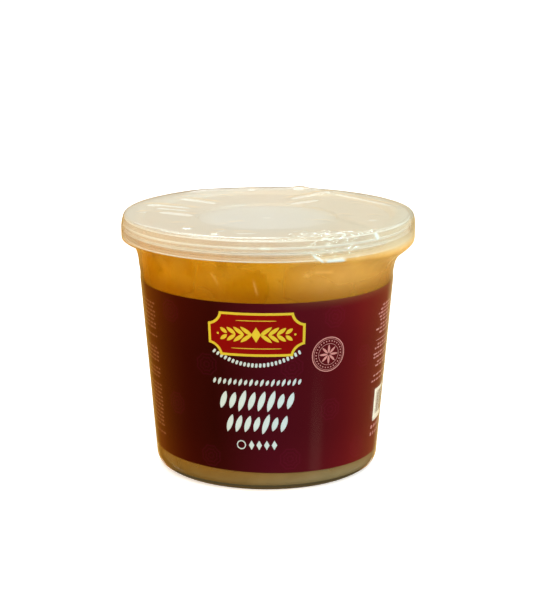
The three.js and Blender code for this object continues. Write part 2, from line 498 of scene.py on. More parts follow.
@dataclass(frozen=True)
class FrostedPlastic:
    """See-through plastic with a haze that is thicker in its rim and at its foot, and painted shade towards
    the label's top edge and at the foot: the tub.
    """

    colour: Colour = (0.375, 0.185, 0.001)
    seam_colour: Colour = (0.45, 0.25, 0.014)
    label_shadow_colour: Colour = (0.23, 0.09, 0.001)
    foot_shade_left: Colour = (0.17, 0.115, 0.03)
    foot_shade_colour: Colour = (0.25, 0.215, 0.115)
    rim_colour: Colour = (0.47, 0.455, 0.41)
    base_colour: Colour = (0.17, 0.135, 0.06)
    haze: float = 0.36
    seam_haze: float = 0.18
    foot_haze: float = 0.30
    rim_haze: float = 0.06
    base_haze: float = 1.0
    foot: Point = (3 * MM, 16 * MM)
    base: Point = (1.0 * MM, 4.0 * MM)
    rim: Point = (53.8 * MM, 54.8 * MM)
    under: Point = (79 * MM, 89 * MM)
    label_shadow_share: float = 0.8
    foot_side: Point = (-35 * MM, 32 * MM)
    patch: float = 17 * MM
    patch_bend: float = 9 * MM
    flow: float = 13 * MM
    grain: float = 1.2 * MM
    roughness: float = 0.38

    def material(self) -> bpy.types.Material:
        """The finish as a material."""
        material, graph = new_material("frosted_plastic")
        x, y, z = graph.split(graph.place())
        rim = ((x * x + y * y) ** 0.5).rise(*self.rim)
        foot = 1 - z.rise(*self.foot)
        base = 1 - z.rise(*self.base)
        flow = graph.cloud(self.flow, 3.0, (1, 1, 0.5))
        fine = graph.cloud(self.grain)
        seams = graph.seams(self.patch, self.patch_bend)
        tint = graph.mix(seams, self.colour, self.seam_colour)
        # Painted shadow of the label: the wall darkens down towards the label's top edge.
        tint = graph.mix((1 - z.rise(*self.under)) * self.label_shadow_share, tint, self.label_shadow_colour)
        # Painted shade at the foot, which gets little light from below: a darker tint, amber at the left and
        # grey-green at the right.
        foot_shade = graph.mix(x.rise(*self.foot_side), self.foot_shade_left, self.foot_shade_colour)
        tint = graph.mix(rim, graph.mix(foot, tint, foot_shade), self.rim_colour)
        tint = graph.mix(base, tint, self.base_colour)
        cover = self.haze + foot * self.foot_haze + rim * self.rim_haze + base * self.base_haze
        patchy = seams * self.seam_haze + (flow - 0.45) * (0.10 + foot * 0.35)
        graph.plastic(
            Base_Color=tint,
            Roughness=self.roughness + (flow - 0.5) * 0.2,
            Alpha=cover + patchy,
            Normal=graph.bump(fine, 0.02 * MM),
            Specular_IOR_Level=0.1,
        )
        return material


@dataclass(frozen=True)
class MilkyPlastic:
    """Milky plastic, thin in the skirt between its ribs, with a matt disc in its middle: the lid. Painted
    shade rings the disc's step, painted highlight brightens the ribs and painted light warms the back of the
    skirt.
    """

    colour: Colour = (0.60, 0.58, 0.505)
    disc_colour: Colour = (0.585, 0.58, 0.54)
    step_shade_colour: Colour = (0.30, 0.28, 0.22)
    skirt_colour: Colour = (0.37, 0.355, 0.305)
    rib_and_highlight_colour: Colour = (0.56, 0.62, 0.64)
    back_light_colour: Colour = (0.52, 0.38, 0.20)
    flow_colour: Colour = (0.60, 0.48, 0.36)
    cover: float = 0.62
    disc_cover: float = 0.2
    skirt_cover: float = 0.32
    rib_cover: float = 0.42
    gate: Point = (1.2 * MM, 2.2 * MM)
    gate_cover: float = 0.12
    disc_radius: float = 28 * MM
    disc_edge: Point = (-8 * MM, 5 * MM)
    step: Point = (0.4 * MM, 1.2 * MM)
    step_shade_share: float = 0.2
    top: Point = (56.2 * MM, 57.8 * MM)
    back: Point = (-5 * MM, 30 * MM)
    roughness: float = 0.34
    ribs: tuple[Point, ...] = (
        (95.5 * MM, 0.3 * MM),
        (98.7 * MM, 0.6 * MM),
        (100.7 * MM, 0.6 * MM),
        (103.3 * MM, 0.3 * MM),
    )

    def material(self) -> bpy.types.Material:
        """The finish as a material."""
        material, graph = new_material("milky_plastic")
        x, y, z = graph.split(graph.place())
        radius = (x * x + y * y) ** 0.5
        disc = 1 - (radius - self.disc_radius).rise(*self.disc_edge)
        skirt = radius.rise(*self.top)
        ribs = sum((z.stripe(*rib) for rib in self.ribs), start=skirt * 0)
        flow = graph.cloud(18 * MM, 3.0)
        fine = graph.cloud(0.9 * MM)
        step = (radius - self.disc_radius).stripe(*self.step)
        tint = graph.mix(disc, self.colour, self.disc_colour)
        # Painted shade: a darker ring where the panel steps down to the disc.
        tint = graph.mix(step * self.step_shade_share, tint, self.step_shade_colour)
        # The ribs are paler and bluer: partly the thicker milky plastic, partly painted highlight.
        tint = graph.mix(skirt, tint, graph.mix(ribs, self.skirt_colour, self.rib_and_highlight_colour))
        # Painted light: a warm tan on the back of the skirt, which the lamps leave grey.
        tint = graph.mix(skirt * y.rise(*self.back), tint, self.back_light_colour)
        darker = graph.mix(flow, tint, self.flow_colour)
        flat_cover = self.cover + disc * self.disc_cover + (flow - 0.5) * 0.1
        flat_cover = flat_cover + (1 - radius.rise(*self.gate)) * self.gate_cover
        skirt_cover = self.skirt_cover + ribs * self.rib_cover
        graph.plastic(
            Base_Color=graph.mix(0.15, tint, darker),
            Roughness=self.roughness + disc * 0.2 + (flow - 0.5) * 0.12,
            Alpha=flat_cover + skirt * (skirt_cover - flat_cover),
            Normal=graph.bump(fine, 0.02 * MM),
            Specular_IOR_Level=0.4,
        )
        return material


@dataclass(frozen=True)
class PrintedFilm:
    """Dark maroon label stock with faint rosettes, and light and shade painted round it: darkest just left of
    the front, purple at the front, lighter and redder to the right.

    The painted light and shade is (degrees from the front, colour).
    """

    painted_light_by_angle: tuple[tuple[float, Colour], ...] = (
        (-180, (0.100, 0.007, 0.007)),
        (-62, (0.055, 0.005, 0.001)),
        (-25, (0.029, 0.002, 0.001)),
        (2, (0.064, 0.003, 0.011)),
        (24, (0.084, 0.005, 0.011)),
        (48, (0.140, 0.008, 0.011)),
        (180, (0.100, 0.007, 0.007)),
    )
    radius: float = 48.3 * MM
    cell: float = math.radians(40)
    first: float = math.radians(11.5)
    rows: tuple[float, ...] = (14 * MM, 33 * MM, 52 * MM, 71 * MM)
    rosette_radius: float = 5.2 * MM
    dim: float = 0.2
    dim_zone: Point = (41 * MM, 34 * MM)
    rosette_tint: Colour = (0.03, 0.002, 0.012)
    rosette_share: float = 0.5
    line_spacing: float = 1.5 * MM

    def _rosettes(self, graph: Graph, angle: Wire, z: Wire, row: int) -> Wire:
        """Mask of one row of rosettes, each a set of scalloped rings.

        Args:
            graph: The graph to build in.
            angle: Angle from the front, in radians.
            z: Height.
            row: Which row; every other one is half a cell further round.

        Returns:
            The mask.
        """
        turn = (angle - (self.first + row * self.cell / 2)) / self.cell + 0.5
        across = (turn.sum("FRACT", turn) - 0.5) * (self.cell * self.radius)
        up = z - self.rows[row]
        reach = (across * across + up * up) ** 0.5
        around = across.sum("ARCTAN2", up, across)
        scallop = reach.sum("COSINE", around * 4).size() * (0.35 * self.line_spacing)
        wave = reach.sum("COSINE", (reach + scallop) * (math.tau / self.line_spacing))
        return wave.rise(0.0, 0.8) * (1 - reach.rise(self.rosette_radius * 0.92, self.rosette_radius))

    def material(self) -> bpy.types.Material:
        """The finish as a material."""
        material, graph = new_material("label_stock")
        x, y, z = graph.split(graph.place())
        angle = x.sum("ARCTAN2", x, y * -1)
        # Painted light and shade: the base colour follows the angle round the label.
        stops = [((turn + 180) / 360, colour) for turn, colour in self.painted_light_by_angle]
        shade = graph.node("ShaderNodeValToRGB", {"stops": stops}, {0: angle / math.tau + 0.5})
        middle = z.stripe(*self.dim_zone) * self.dim
        shade = graph.mix(middle, shade, (0.0, 0.0, 0.0))
        mask = sum(
            (self._rosettes(graph, angle, z, row) for row in range(1, len(self.rows))),
            start=self._rosettes(graph, angle, z, 0),
        )
        lighter = graph.node(
            "ShaderNodeMix",
            {"data_type": "RGBA", "blend_type": "ADD"},
            {0: 1.0, 6: shade, 7: (*self.rosette_tint, 1.0)},
            2,
        )
        mottle = graph.cloud(22 * MM)
        graph.plastic(
            Base_Color=graph.mix(mask * self.rosette_share, shade, lighter),
            Roughness=0.4 + (mottle - 0.5) * 0.1,
            Specular_IOR_Level=0.12,
        )
        return material


@dataclass(frozen=True)
class Ink:
    """Flat printing ink, a little darker in its speckles."""

    name: str
    colour: Colour
    wear: float = 0.86

    def material(self) -> bpy.types.Material:
        """The finish as a material."""
        material, graph = new_material(self.name)
        speckle = graph.cloud(0.5 * MM)
        worn = tuple(self.wear * part for part in self.colour)
        graph.plastic(
            Base_Color=graph.mix((speckle - 0.3) * 0.8, self.colour, worn),
            Roughness=0.45 + (speckle - 0.5) * 0.1,
            Specular_IOR_Level=0.25,
        )
        return material


class Inks(Enum):
    """Inks that the label is printed in."""

    PALE = Ink("pale_ink", (0.52, 0.68, 0.76))
    CREAM = Ink("cream_ink", (0.85, 0.90, 0.84))
    ROSE = Ink("rose_ink", (0.58, 0.30, 0.30))
    BROWN = Ink("brown_ink", (0.22, 0.09, 0.055))
    GOLD = Ink("gold_ink", (0.58, 0.52, 0.045))
    RED = Ink("red_ink", (0.215, 0.001, 0.001))
    DARK = Ink("dark_ink", (0.10, 0.09, 0.07))


@dataclass(frozen=True)
class Jaggery:
    """Golden amber cane sugar, blotchy where it touches the tub. Away from it, painted light makes it paler
    and gives it a glow; painted shade darkens it low down and towards the label's top edge.
    """

    wall: Callable[[Wire], Wire]
    colour: Colour = (0.39, 0.19, 0.001)
    dark: Colour = (0.33, 0.15, 0.0005)
    away: Colour = (0.46, 0.245, 0.014)
    under: Colour = (0.27, 0.095, 0.001)
    low: Colour = (0.20, 0.13, 0.04)
    low_shade_away: Colour = (0.30, 0.245, 0.12)
    touch: Point = (-0.11 * MM, 0.26 * MM)
    low_zone: Point = (6 * MM, 17 * MM)
    label_shadow_zone: Point = (76 * MM, 86 * MM)
    label_shadow_share: float = 0.8
    blotch: float = 9 * MM
    grain: float = 1.6 * MM
    crystal: float = 0.35 * MM
    relief: float = 0.2 * MM
    light_depth: tuple[float, float, float] = (4 * MM, 1.6 * MM, 0.4 * MM)
    glow: float = 0.15

    def material(self) -> bpy.types.Material:
        """The finish as a material."""
        material, graph = new_material("jaggery")
        x, y, z = graph.split(graph.place())
        away = (self.wall(z) - (x * x + y * y) ** 0.5).rise(*self.touch)
        low = 1 - z.rise(*self.low_zone)
        blotch = graph.cloud(self.blotch, 3.0)
        fine = graph.cloud(self.grain, 4.0)
        crystals = graph.cloud(self.crystal)
        near = graph.mix(blotch.rise(0.35, 0.65), self.dark, self.colour)
        # Painted light: paler where the sugar lies away from the tub's wall.
        base = graph.mix(away * (0.55 + fine * 0.6), near, self.away)
        # Painted shade: low down the heap is darker and greyer, as little light comes from below.
        low_shade = graph.mix(away * 0.6 + blotch.rise(0.4, 0.65) * 0.4, self.low, self.low_shade_away)
        # Painted shadow of the label: the sugar darkens down towards the label's top edge.
        base = graph.mix((1 - z.rise(*self.label_shadow_zone)) * self.label_shadow_share, base, self.under)
        base = graph.mix(low, base, low_shade)
        graph.plastic(
            Base_Color=base,
            Roughness=0.5 + (fine - 0.5) * 0.3,
            Normal=graph.bump(fine * 0.7 + crystals * 0.3, self.relief),
            Specular_IOR_Level=0.1,
            Subsurface_Weight=0.35,
            Subsurface_Radius=self.light_depth,
            Subsurface_Scale=1.0,
            # Painted glow away from the wall, though the sugar is no lamp.
            Emission_Color=graph.mix(away, (0.0, 0.0, 0.0), base),
            Emission_Strength=self.glow,
        )
        return material


@dataclass(frozen=True)
class ClearFilm:
    """Thin glossy film, clear where it lies close and hazy where it hangs slack, with painted highlights on
    its marked creases.
    """

    gloss_tint: Colour = (0.97, 1.0, 0.98)
    haze_colour: Colour = (1.0, 0.75, 0.28)
    lid_haze_colour: Colour = (0.66, 0.70, 0.53)
    top_haze_colour: Colour = (0.57, 0.50, 0.36)
    edge_colour: Colour = (0.80, 0.50, 0.12)
    fold_colour: Colour = (0.62, 0.46, 0.22)
    crease_highlight_colour: Colour = (0.72, 0.90, 0.98)
    haze: float = 0.005
    slack_haze: float = 0.49
    hem_haze: float = 0.36
    edge_haze: float = 0.40
    crease_highlight_haze: float = 0.28
    lid_highlight_haze: float = 0.6
    white_highlight_zone: Point = (90.5 * MM, 93.5 * MM)
    fold_haze: float = 0.6
    veil_share: float = 0.45
    hem: Point = (74 * MM, 90 * MM)
    slack_side: Point = (0.0, 30 * MM)
    thin: Point = (95 * MM, 101 * MM)
    thin_share: float = 0.6
    crest: Point = (104.6 * MM, 105.2 * MM)
    crest_share: float = 0.3
    flare_side: Point = (40 * MM, 57 * MM)
    flare_zone: Point = (86 * MM, 94 * MM)
    edge_side: Point = (46 * MM, 53 * MM)
    edge_zone: tuple[Point, Point] = ((82 * MM, 87 * MM), (95 * MM, 97 * MM))
    fold_middle: Point = (15.5 * MM, 6 * MM)
    fold_back: Point = (52.5 * MM, 55 * MM)
    fold_zone: Point = (103 * MM, 105 * MM)
    lid_zone: Point = (93 * MM, 98 * MM)
    crinkle: float = 3 * MM
    crinkle_depth: float = 0.9 * MM
    crinkle_across: tuple[Point, Point] = ((10 * MM, 23 * MM), (33 * MM, 39 * MM))
    crinkle_front: Point = (-48 * MM, -40 * MM)
    crinkle_zone: Point = (93 * MM, 96 * MM)
    crinkle_top: Point = (104.4 * MM, 105.2 * MM)
    crinkle_top_share: float = 0.75
    roughness: float = 0.03
    smeared_roughness: float = 0.12

    def _crinkles(self, graph: Graph, x: Wire, y: Wire, z: Wire) -> tuple[Wire, Wire]:
        """Fine crinkles of the shoulder at the front right.

        Args:
            graph: The graph to build in.
            x: Place across.
            y: Place from front to back.
            z: Height.

        Returns:
            The patch that they keep to, and the bent normal.
        """
        lumps = graph.cloud(self.crinkle, 1.0, (0.7, 1.0, 1.0)) * 2 - 1
        ridges = (1 - lumps.size()) ** 4
        patch = x.within(*self.crinkle_across) * (1 - y.rise(*self.crinkle_front))
        patch = patch * z.rise(*self.crinkle_zone)
        patch = patch * (1 - z.rise(*self.crinkle_top) * self.crinkle_top_share)
        return patch, graph.bump(ridges * patch, self.crinkle_depth)

    def material(self) -> bpy.types.Material:
        """The finish as a material."""
        material, graph = new_material("clear_film")
        x, y, z = graph.split(graph.place())
        smear = graph.cloud(16 * MM, 4.0, (1, 1, 0.5))
        hem = z.rise(*self.hem)
        crest = z.rise(*self.crest)
        thin = 1 - z.rise(*self.thin) * self.thin_share
        slack = x.rise(*self.slack_side) * hem * (thin + crest * self.crest_share)
        flare = x.rise(*self.flare_side) * z.rise(*self.flare_zone) * thin
        edge = (x * -1).rise(*self.edge_side) * z.within(*self.edge_zone)
        fold = x.stripe(*self.fold_middle) * y.rise(*self.fold_back) * z.rise(*self.fold_zone)
        # Painted highlights: how strongly each point lies on a marked crease.
        crease = graph.node("ShaderNodeAttribute", {"attribute_name": CREASE_HIGHLIGHTS}, output="Fac")
        pale = z.rise(*self.white_highlight_zone)

        patch, bent = self._crinkles(graph, x, y, z)
        roughness = self.roughness + smear * (1 - patch) * self.smeared_roughness
        gloss = graph.node(
            "ShaderNodeBsdfAnisotropic",
            sockets={"Color": (*self.gloss_tint, 1.0), "Roughness": roughness, "Normal": bent},
        )

        lid_tint = graph.mix(crest, self.lid_haze_colour, self.top_haze_colour)
        tint = graph.mix(z.rise(*self.lid_zone), self.haze_colour, lid_tint)
        tint = graph.mix(fold, graph.mix(edge, tint, self.edge_colour), self.fold_colour)
        # Painted highlights: marked creases take a pale tint, bluish white from the lid's edge up.
        tint = graph.mix(crease, tint, graph.mix(pale, self.haze_colour, self.crease_highlight_colour))
        outer = graph.node("ShaderNodeBsdfDiffuse", sockets={"Color": tint})
        through = graph.node("ShaderNodeBsdfTranslucent", sockets={"Color": tint})
        veil = graph.blend(self.veil_share, outer, through)

        cover = self.haze * (0.4 + smear * 1.2) * hem
        cover = cover + slack * (0.55 + smear * 0.9) * self.slack_haze + flare * self.hem_haze
        cover = cover + edge * self.edge_haze + fold * self.fold_haze
        # Painted highlights: marked creases get more veil, most of it on the lid.
        cover = cover + crease * (self.crease_highlight_haze + pale * (self.lid_highlight_haze - self.crease_highlight_haze))
        clear = graph.node("ShaderNodeBsdfTransparent")
        mirror = graph.node("ShaderNodeFresnel", sockets={"IOR": 1.45})
        graph.surface(graph.blend(mirror, graph.blend(cover, clear, veil), gloss))
        return material


# ------------------------------------------------------------------ sizes


@dataclass(frozen=True)
class Pack:
    """The sizes that the pieces share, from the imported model."""

    floor_radius: float = 45.1 * MM
    draft: float = 0.082
    film: float = 0.2 * MM
    label: float = 0.25 * MM
    skin_gap: float = 0.12 * MM
    wall: float = 0.9 * MM
    corner: float = 4.8 * MM
    base_recess: float = 1.4 * MM
    lid_top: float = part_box("lid")[1][2]
    lid_bottom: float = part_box("lid")[0][2]
    lid_radius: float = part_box("lid")[1][1]
    rim_top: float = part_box("tub")[1][2]
    rim_radius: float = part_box("tub")[1][1]
    label_top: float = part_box("label")[1][2]
    label_middle: float = 43 * MM
    disc_radius: float = 28 * MM
    panel_radius: float = 49.6 * MM
    lid_rim_inner: float = 51.6 * MM
    rib_bottom: float = 99.1 * MM
    rib_top: float = 101.1 * MM
    disc_top: float = 101.6 * MM

    def outline(self, z: float) -> float:
        """Radius of the outermost skin at a height."""
        return self.floor_radius + self.draft * z

    def label_outer(self, z: float) -> float:
        """Outer radius of the label at a height."""
        return self.outline(z) - self.film - self.skin_gap

    def tub_outer(self, z: float) -> float:
        """Outer radius of the tub's wall at a height."""
        return self.label_outer(z) - self.label - self.skin_gap

    def tub_inner(self, z: float) -> float:
        """Inner radius of the tub's wall at a height."""
        return self.tub_outer(z) - self.wall

    def foot_corner(
        self, wall: Callable[[float], float], floor: float, radius: float, steps: int, start: float = -90
    ) -> Line:
        """Rounded corner between a floor and the leaning wall.

        Args:
            wall: Radius of the wall at a height.
            floor: Height of the floor.
            radius: Radius of the corner.
            steps: Number of chords.
            start: Angle where the corner begins, in degrees.

        Returns:
            Its points, from the floor up.
        """
        lean = math.atan(self.draft)
        height = floor + radius
        centre = (wall(height) - radius / math.cos(lean), height)
        return arc(centre, radius, start, -math.degrees(lean), steps)


def dress(obj: Object, material: bpy.types.Material, slot: str, *nodes: str) -> Object:
    """Finishes a piece and fits it into the frame.

    Args:
        obj: The piece.
        material: Its material.
        slot: Not used.
        nodes: The nodes that it stands for.

    Returns:
        The piece.
    """
    obj.data.materials.clear()
    obj.data.materials.append(material)
    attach(obj, BODY)
    if nodes:
        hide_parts(*nodes)
    LOG.info("%s: %d faces", obj.name, len(obj.data.polygons))
    return obj


# ------------------------------------------------------------------ tub


@dataclass
class Tub:
    """Thin frosted tub: foot ring, leaning wall, flat flange and turned-down lip."""

    pack: Pack
    steps: int = 240
    foot_width: float = 1.8 * MM
    lip_bottom: float = 97.5 * MM
    edge_radius: float = 0.35 * MM

    def section(self) -> Line:
        """Section of the tub, from the axis underneath to the axis inside."""
        pack = self.pack
        outer = pack.foot_corner(pack.tub_outer, 0, pack.corner, 14)
        floor = pack.base_recess + pack.wall
        inner = pack.foot_corner(pack.tub_inner, floor, pack.corner - pack.wall, 12)
        foot = outer[0][0] - self.foot_width
        flange = pack.rim_top - pack.wall
        lip = pack.rim_radius - pack.wall
        edge = self.edge_radius
        return [
            (0, pack.base_recess),
            (12 * MM, pack.base_recess),
            (foot - 1.6 * MM, pack.base_recess),
            *arc((foot - 1.1 * MM, pack.base_recess - 0.5 * MM), 0.5 * MM, 90, 20, 4),
            (foot - 0.2 * MM, 0.12 * MM),
            (foot, 0),
            *outer,
            *straight(outer[-1], (pack.tub_outer(flange - edge), flange - edge), 24),
            (pack.tub_outer(flange) + edge, flange),
            (lip - edge, flange),
            (lip, flange - edge),
            (lip, self.lip_bottom + edge),
            *arc((lip + pack.wall / 2, self.lip_bottom + edge), pack.wall / 2, 180, 360, 8),
            *arc((pack.rim_radius - 1 * MM, pack.rim_top - 1 * MM), 1 * MM, 0, 90, 6),
            (pack.tub_inner(pack.rim_top) + 0.6 * MM, pack.rim_top),
            *arc((pack.tub_inner(pack.rim_top) + 0.6 * MM, pack.rim_top - 0.6 * MM), 0.6 * MM, 110, 175, 4),
            *reversed(inner),
            (0, floor),
        ]

    def build(self) -> Object:
        """Turns the tub and gives it its finish."""
        tub = turned("frosted_tub", self.section(), self.steps)
        tub.visible_shadow = False
        return dress(tub, FrostedPlastic().material(), "tub", "tub")


# ------------------------------------------------------------------ lid


@dataclass
class Lid:
    """Press-on lid: shallow disc and panel, flat rim, ribbed skirt and a bead inside its edge."""

    pack: Pack
    steps: int = 300
    wall: float = 0.9 * MM
    panel_top: float = 102.5 * MM
    step_round: float = 0.4 * MM

    def section(self) -> Line:
        """Section of the lid, from the axis underneath to the axis on top."""
        pack = self.pack
        radius, top, bottom = pack.lid_radius, pack.lid_top, pack.lid_bottom
        skirt = radius - self.wall - 0.2 * MM
        under_rim = top - self.wall
        rim_corner = arc((radius - 2.3 * MM, top - 1.5 * MM), 1.5 * MM, 0, 90, 8)
        return [
            (0, pack.disc_top - self.wall),
            (pack.disc_radius + 0.5 * MM, pack.disc_top - self.wall),
            (pack.disc_radius + 1.1 * MM, self.panel_top - self.wall),
            (pack.panel_radius + 0.5 * MM, self.panel_top - self.wall),
            (pack.lid_rim_inner + 0.5 * MM, under_rim),
            (skirt - 0.5 * MM, under_rim),
            (skirt, under_rim - 0.5 * MM),
            (skirt, bottom + 1.8 * MM),
            (skirt - 0.5 * MM, bottom + 1.3 * MM),
            (skirt, bottom + 0.2 * MM),
            (skirt + 0.2 * MM, bottom),
            (radius - 0.2 * MM, bottom),
            *arc((radius - 0.25 * MM, bottom + 0.25 * MM), 0.25 * MM, -70, 60, 5),
            (radius - 0.35 * MM, bottom + 0.9 * MM),
            (radius - 0.5 * MM, pack.rib_bottom - 0.5 * MM),
            *arc((radius - 0.35 * MM, pack.rib_bottom), 0.25 * MM, -60, 60, 5),
            (radius - 0.42 * MM, pack.rib_bottom + 0.9 * MM),
            *arc((radius - 0.55 * MM, pack.rib_top - 0.2 * MM), 0.22 * MM, -50, 70, 5),
            (radius - 0.8 * MM, pack.rib_top + 0.3 * MM),
            *rim_corner,
            (pack.lid_rim_inner + 1.2 * MM, top),
            *through([(pack.lid_rim_inner + 0.3 * MM, top), (pack.panel_radius, self.panel_top)], 6),
            (pack.panel_radius - self.step_round, self.panel_top),
            (pack.disc_radius + 1.0 * MM, self.panel_top),
            *through([(pack.disc_radius + 0.7 * MM, self.panel_top), (pack.disc_radius, pack.disc_top)], 5),
            (pack.disc_radius - self.step_round, pack.disc_top),
            (12 * MM, pack.disc_top),
            (0, pack.disc_top),
        ]

    def build(self) -> Object:
        """Turns the lid and gives it its finish."""
        lid = turned("milky_lid", self.section(), self.steps)
        lid.visible_shadow = False
        return dress(lid, MilkyPlastic(disc_radius=self.pack.disc_radius).material(), "lid", "lid")


# ------------------------------------------------------------------ label


class Stamp(Enum):
    """Small shapes that the label is printed with."""

    BAR = "bar"
    LEAF = "leaf"
    DOT = "dot"
    LOZENGE = "lozenge"
    BLOCK = "block"


@dataclass
class Printer:
    """Prints flat shapes, drawn on a sheet of width and height, onto the label.

    The sheet's width runs round the label, with 0 at the front.
    """

    pack: Pack
    proud: float = 0.03 * MM
    raised: float = 0.045 * MM
    depth: float = 0.06 * MM
    strip: float = 1.5 * MM

    def __post_init__(self) -> None:
        """Models each stamp once, one unit wide and high."""
        self.middle_radius = self.pack.label_outer(self.pack.label_middle)
        self.stamps = {kind: getattr(self, f"_{kind.value}")() for kind in Stamp}

    @staticmethod
    def _disc(corners: int, name: str) -> Object:
        """Flat regular shape, one unit across, that faces the front."""
        pick()
        bpy.ops.mesh.primitive_circle_add(
            vertices=corners, radius=0.5, fill_type="NGON", rotation=(math.pi / 2, 0, 0)
        )
        bpy.ops.object.transform_apply(rotation=True)
        return named(name)

    @staticmethod
    def square(name: str) -> Object:
        """Flat square, one unit wide, that faces the front."""
        pick()
        bpy.ops.mesh.primitive_plane_add(size=1, rotation=(math.pi / 2, 0, 0))
        bpy.ops.object.transform_apply(rotation=True)
        return named(name)

    def _dot(self) -> Object:
        """Round dot."""
        return self._disc(20, "stamp_dot")

    def _lozenge(self) -> Object:
        """Square on its corner."""
        return self._disc(4, "stamp_lozenge")

    def _bar(self) -> Object:
        """Square with rounded corners."""
        obj = self.square("stamp_bar")
        with editing(obj):
            bpy.ops.mesh.bevel(offset=0.3, segments=3, affect="VERTICES")
        return obj

    def _block(self) -> Object:
        """Square with sharp corners."""
        return self.square("stamp_block")

    def _leaf(self) -> Object:
        """Pointed leaf, modelled as a slice of a disc and its mirror image."""
        obj = self._disc(64, "stamp_leaf")
        with editing(obj):
            bpy.ops.transform.translate(value=(0, 0, -0.28))
            bpy.ops.mesh.bisect(plane_co=(0, 0, 0), plane_no=(0, 0, 1), clear_inner=True, use_fill=False)
            bpy.ops.mesh.select_all(action="SELECT")
            bpy.ops.mesh.duplicate()
            bpy.ops.transform.resize(value=(1, 1, -1), center_override=(0, 0, 0))
            bpy.ops.mesh.select_all(action="SELECT")
            bpy.ops.mesh.remove_doubles(threshold=1e-5)
            bpy.ops.mesh.dissolve_limited(angle_limit=0.01)
        points = points_of(obj)
        set_points(obj, points / (2 * np.abs(points).max(axis=0) + (0, 1, 0)))
        return obj

    def stamp(
        self, kind: Stamp, across: float, up: float, width: float, height: float, turn: float = 0.0
    ) -> Object:
        """One flat shape on the sheet.

        Args:
            kind: Which stamp.
            across: Where its middle is along the sheet.
            up: Where its middle is in height.
            width: Its width before it is turned.
            height: Its height before it is turned.
            turn: How far it is turned, in degrees, anticlockwise.

        Returns:
            The shape.
        """
        place = Matrix.Translation((across, 0, up))
        turned_by = Matrix.Rotation(-math.radians(turn), 4, "Y")
        size = Matrix.Diagonal((width, 1, height, 1))
        return copy_of(self.stamps[kind], place @ turned_by @ size)

    def ring(self, across: float, up: float, radius: float, width: float) -> Object:
        """Flat ring on the sheet.

        Args:
            across: Where its middle is along the sheet.
            up: Where its middle is in height.
            radius: Its outer radius.
            width: Width of its line.

        Returns:
            The ring.
        """
        obj = self._disc(72, "ring")
        with editing(obj):
            bpy.ops.transform.resize(value=(2 * radius, 1, 2 * radius))
            bpy.ops.transform.translate(value=(across, 0, up))
            bpy.ops.mesh.inset(thickness=width)
            bpy.ops.mesh.delete(type="FACE")
        return obj

    def words(
        self, draw: Draw, start: float, up: float, length: float, height: float, word: float
    ) -> list[Object]:
        """Row of short bars, as a line of small print.

        Args:
            draw: Random numbers for the lengths.
            start: Where the row begins along the sheet.
            up: Height of its middle.
            length: Length of the row.
            height: Height of the bars.
            word: Usual length of a bar.

        Returns:
            The bars.
        """
        bars, here = [], start
        while here < start + length - 0.4 * word:
            size = min(draw.between(0.5, 1.5) * word, start + length - here)
            bars.append(self.stamp(Stamp.BAR, here + size / 2, up, size, height))
            here += size + 0.9 * height
        return bars

    def onto_label(self, name: str, shapes: Sequence[Object], raised: bool) -> Object:
        """Joins flat shapes, gives them thickness and wraps them round the label.

        Args:
            name: The piece's name.
            shapes: The flat shapes.
            raised: Whether it lies over other print.

        Returns:
            The print as one piece.
        """
        sheet = joined(name, shapes)
        points = points_of(sheet)
        first, last = points[:, 0].min(), points[:, 0].max()
        with editing(sheet):
            for k in range(1, int((last - first) / self.strip) + 1):
                bpy.ops.mesh.select_all(action="SELECT")
                bpy.ops.mesh.bisect(plane_co=(first + k * self.strip, 0, 0), plane_no=(1, 0, 0))
            bpy.ops.mesh.select_all(action="SELECT")
            bpy.ops.mesh.extrude_region_move(TRANSFORM_OT_translate={"value": (0, self.depth, 0)})
            bpy.ops.mesh.select_all(action="SELECT")
            bpy.ops.mesh.normals_make_consistent(inside=False)
        points = points_of(sheet)
        height = self.raised if raised else self.proud
        radius = self.pack.label_outer(points[:, 2]) + height - points[:, 1]
        angle = points[:, 0] / self.middle_radius
        wrapped = np.column_stack((radius * np.sin(angle), -radius * np.cos(angle), points[:, 2]))
        set_points(sheet, wrapped)
        smooth(sheet, 30)
        return sheet

    def clear(self) -> None:
        """Removes the stamps."""
        remove(*self.stamps.values())


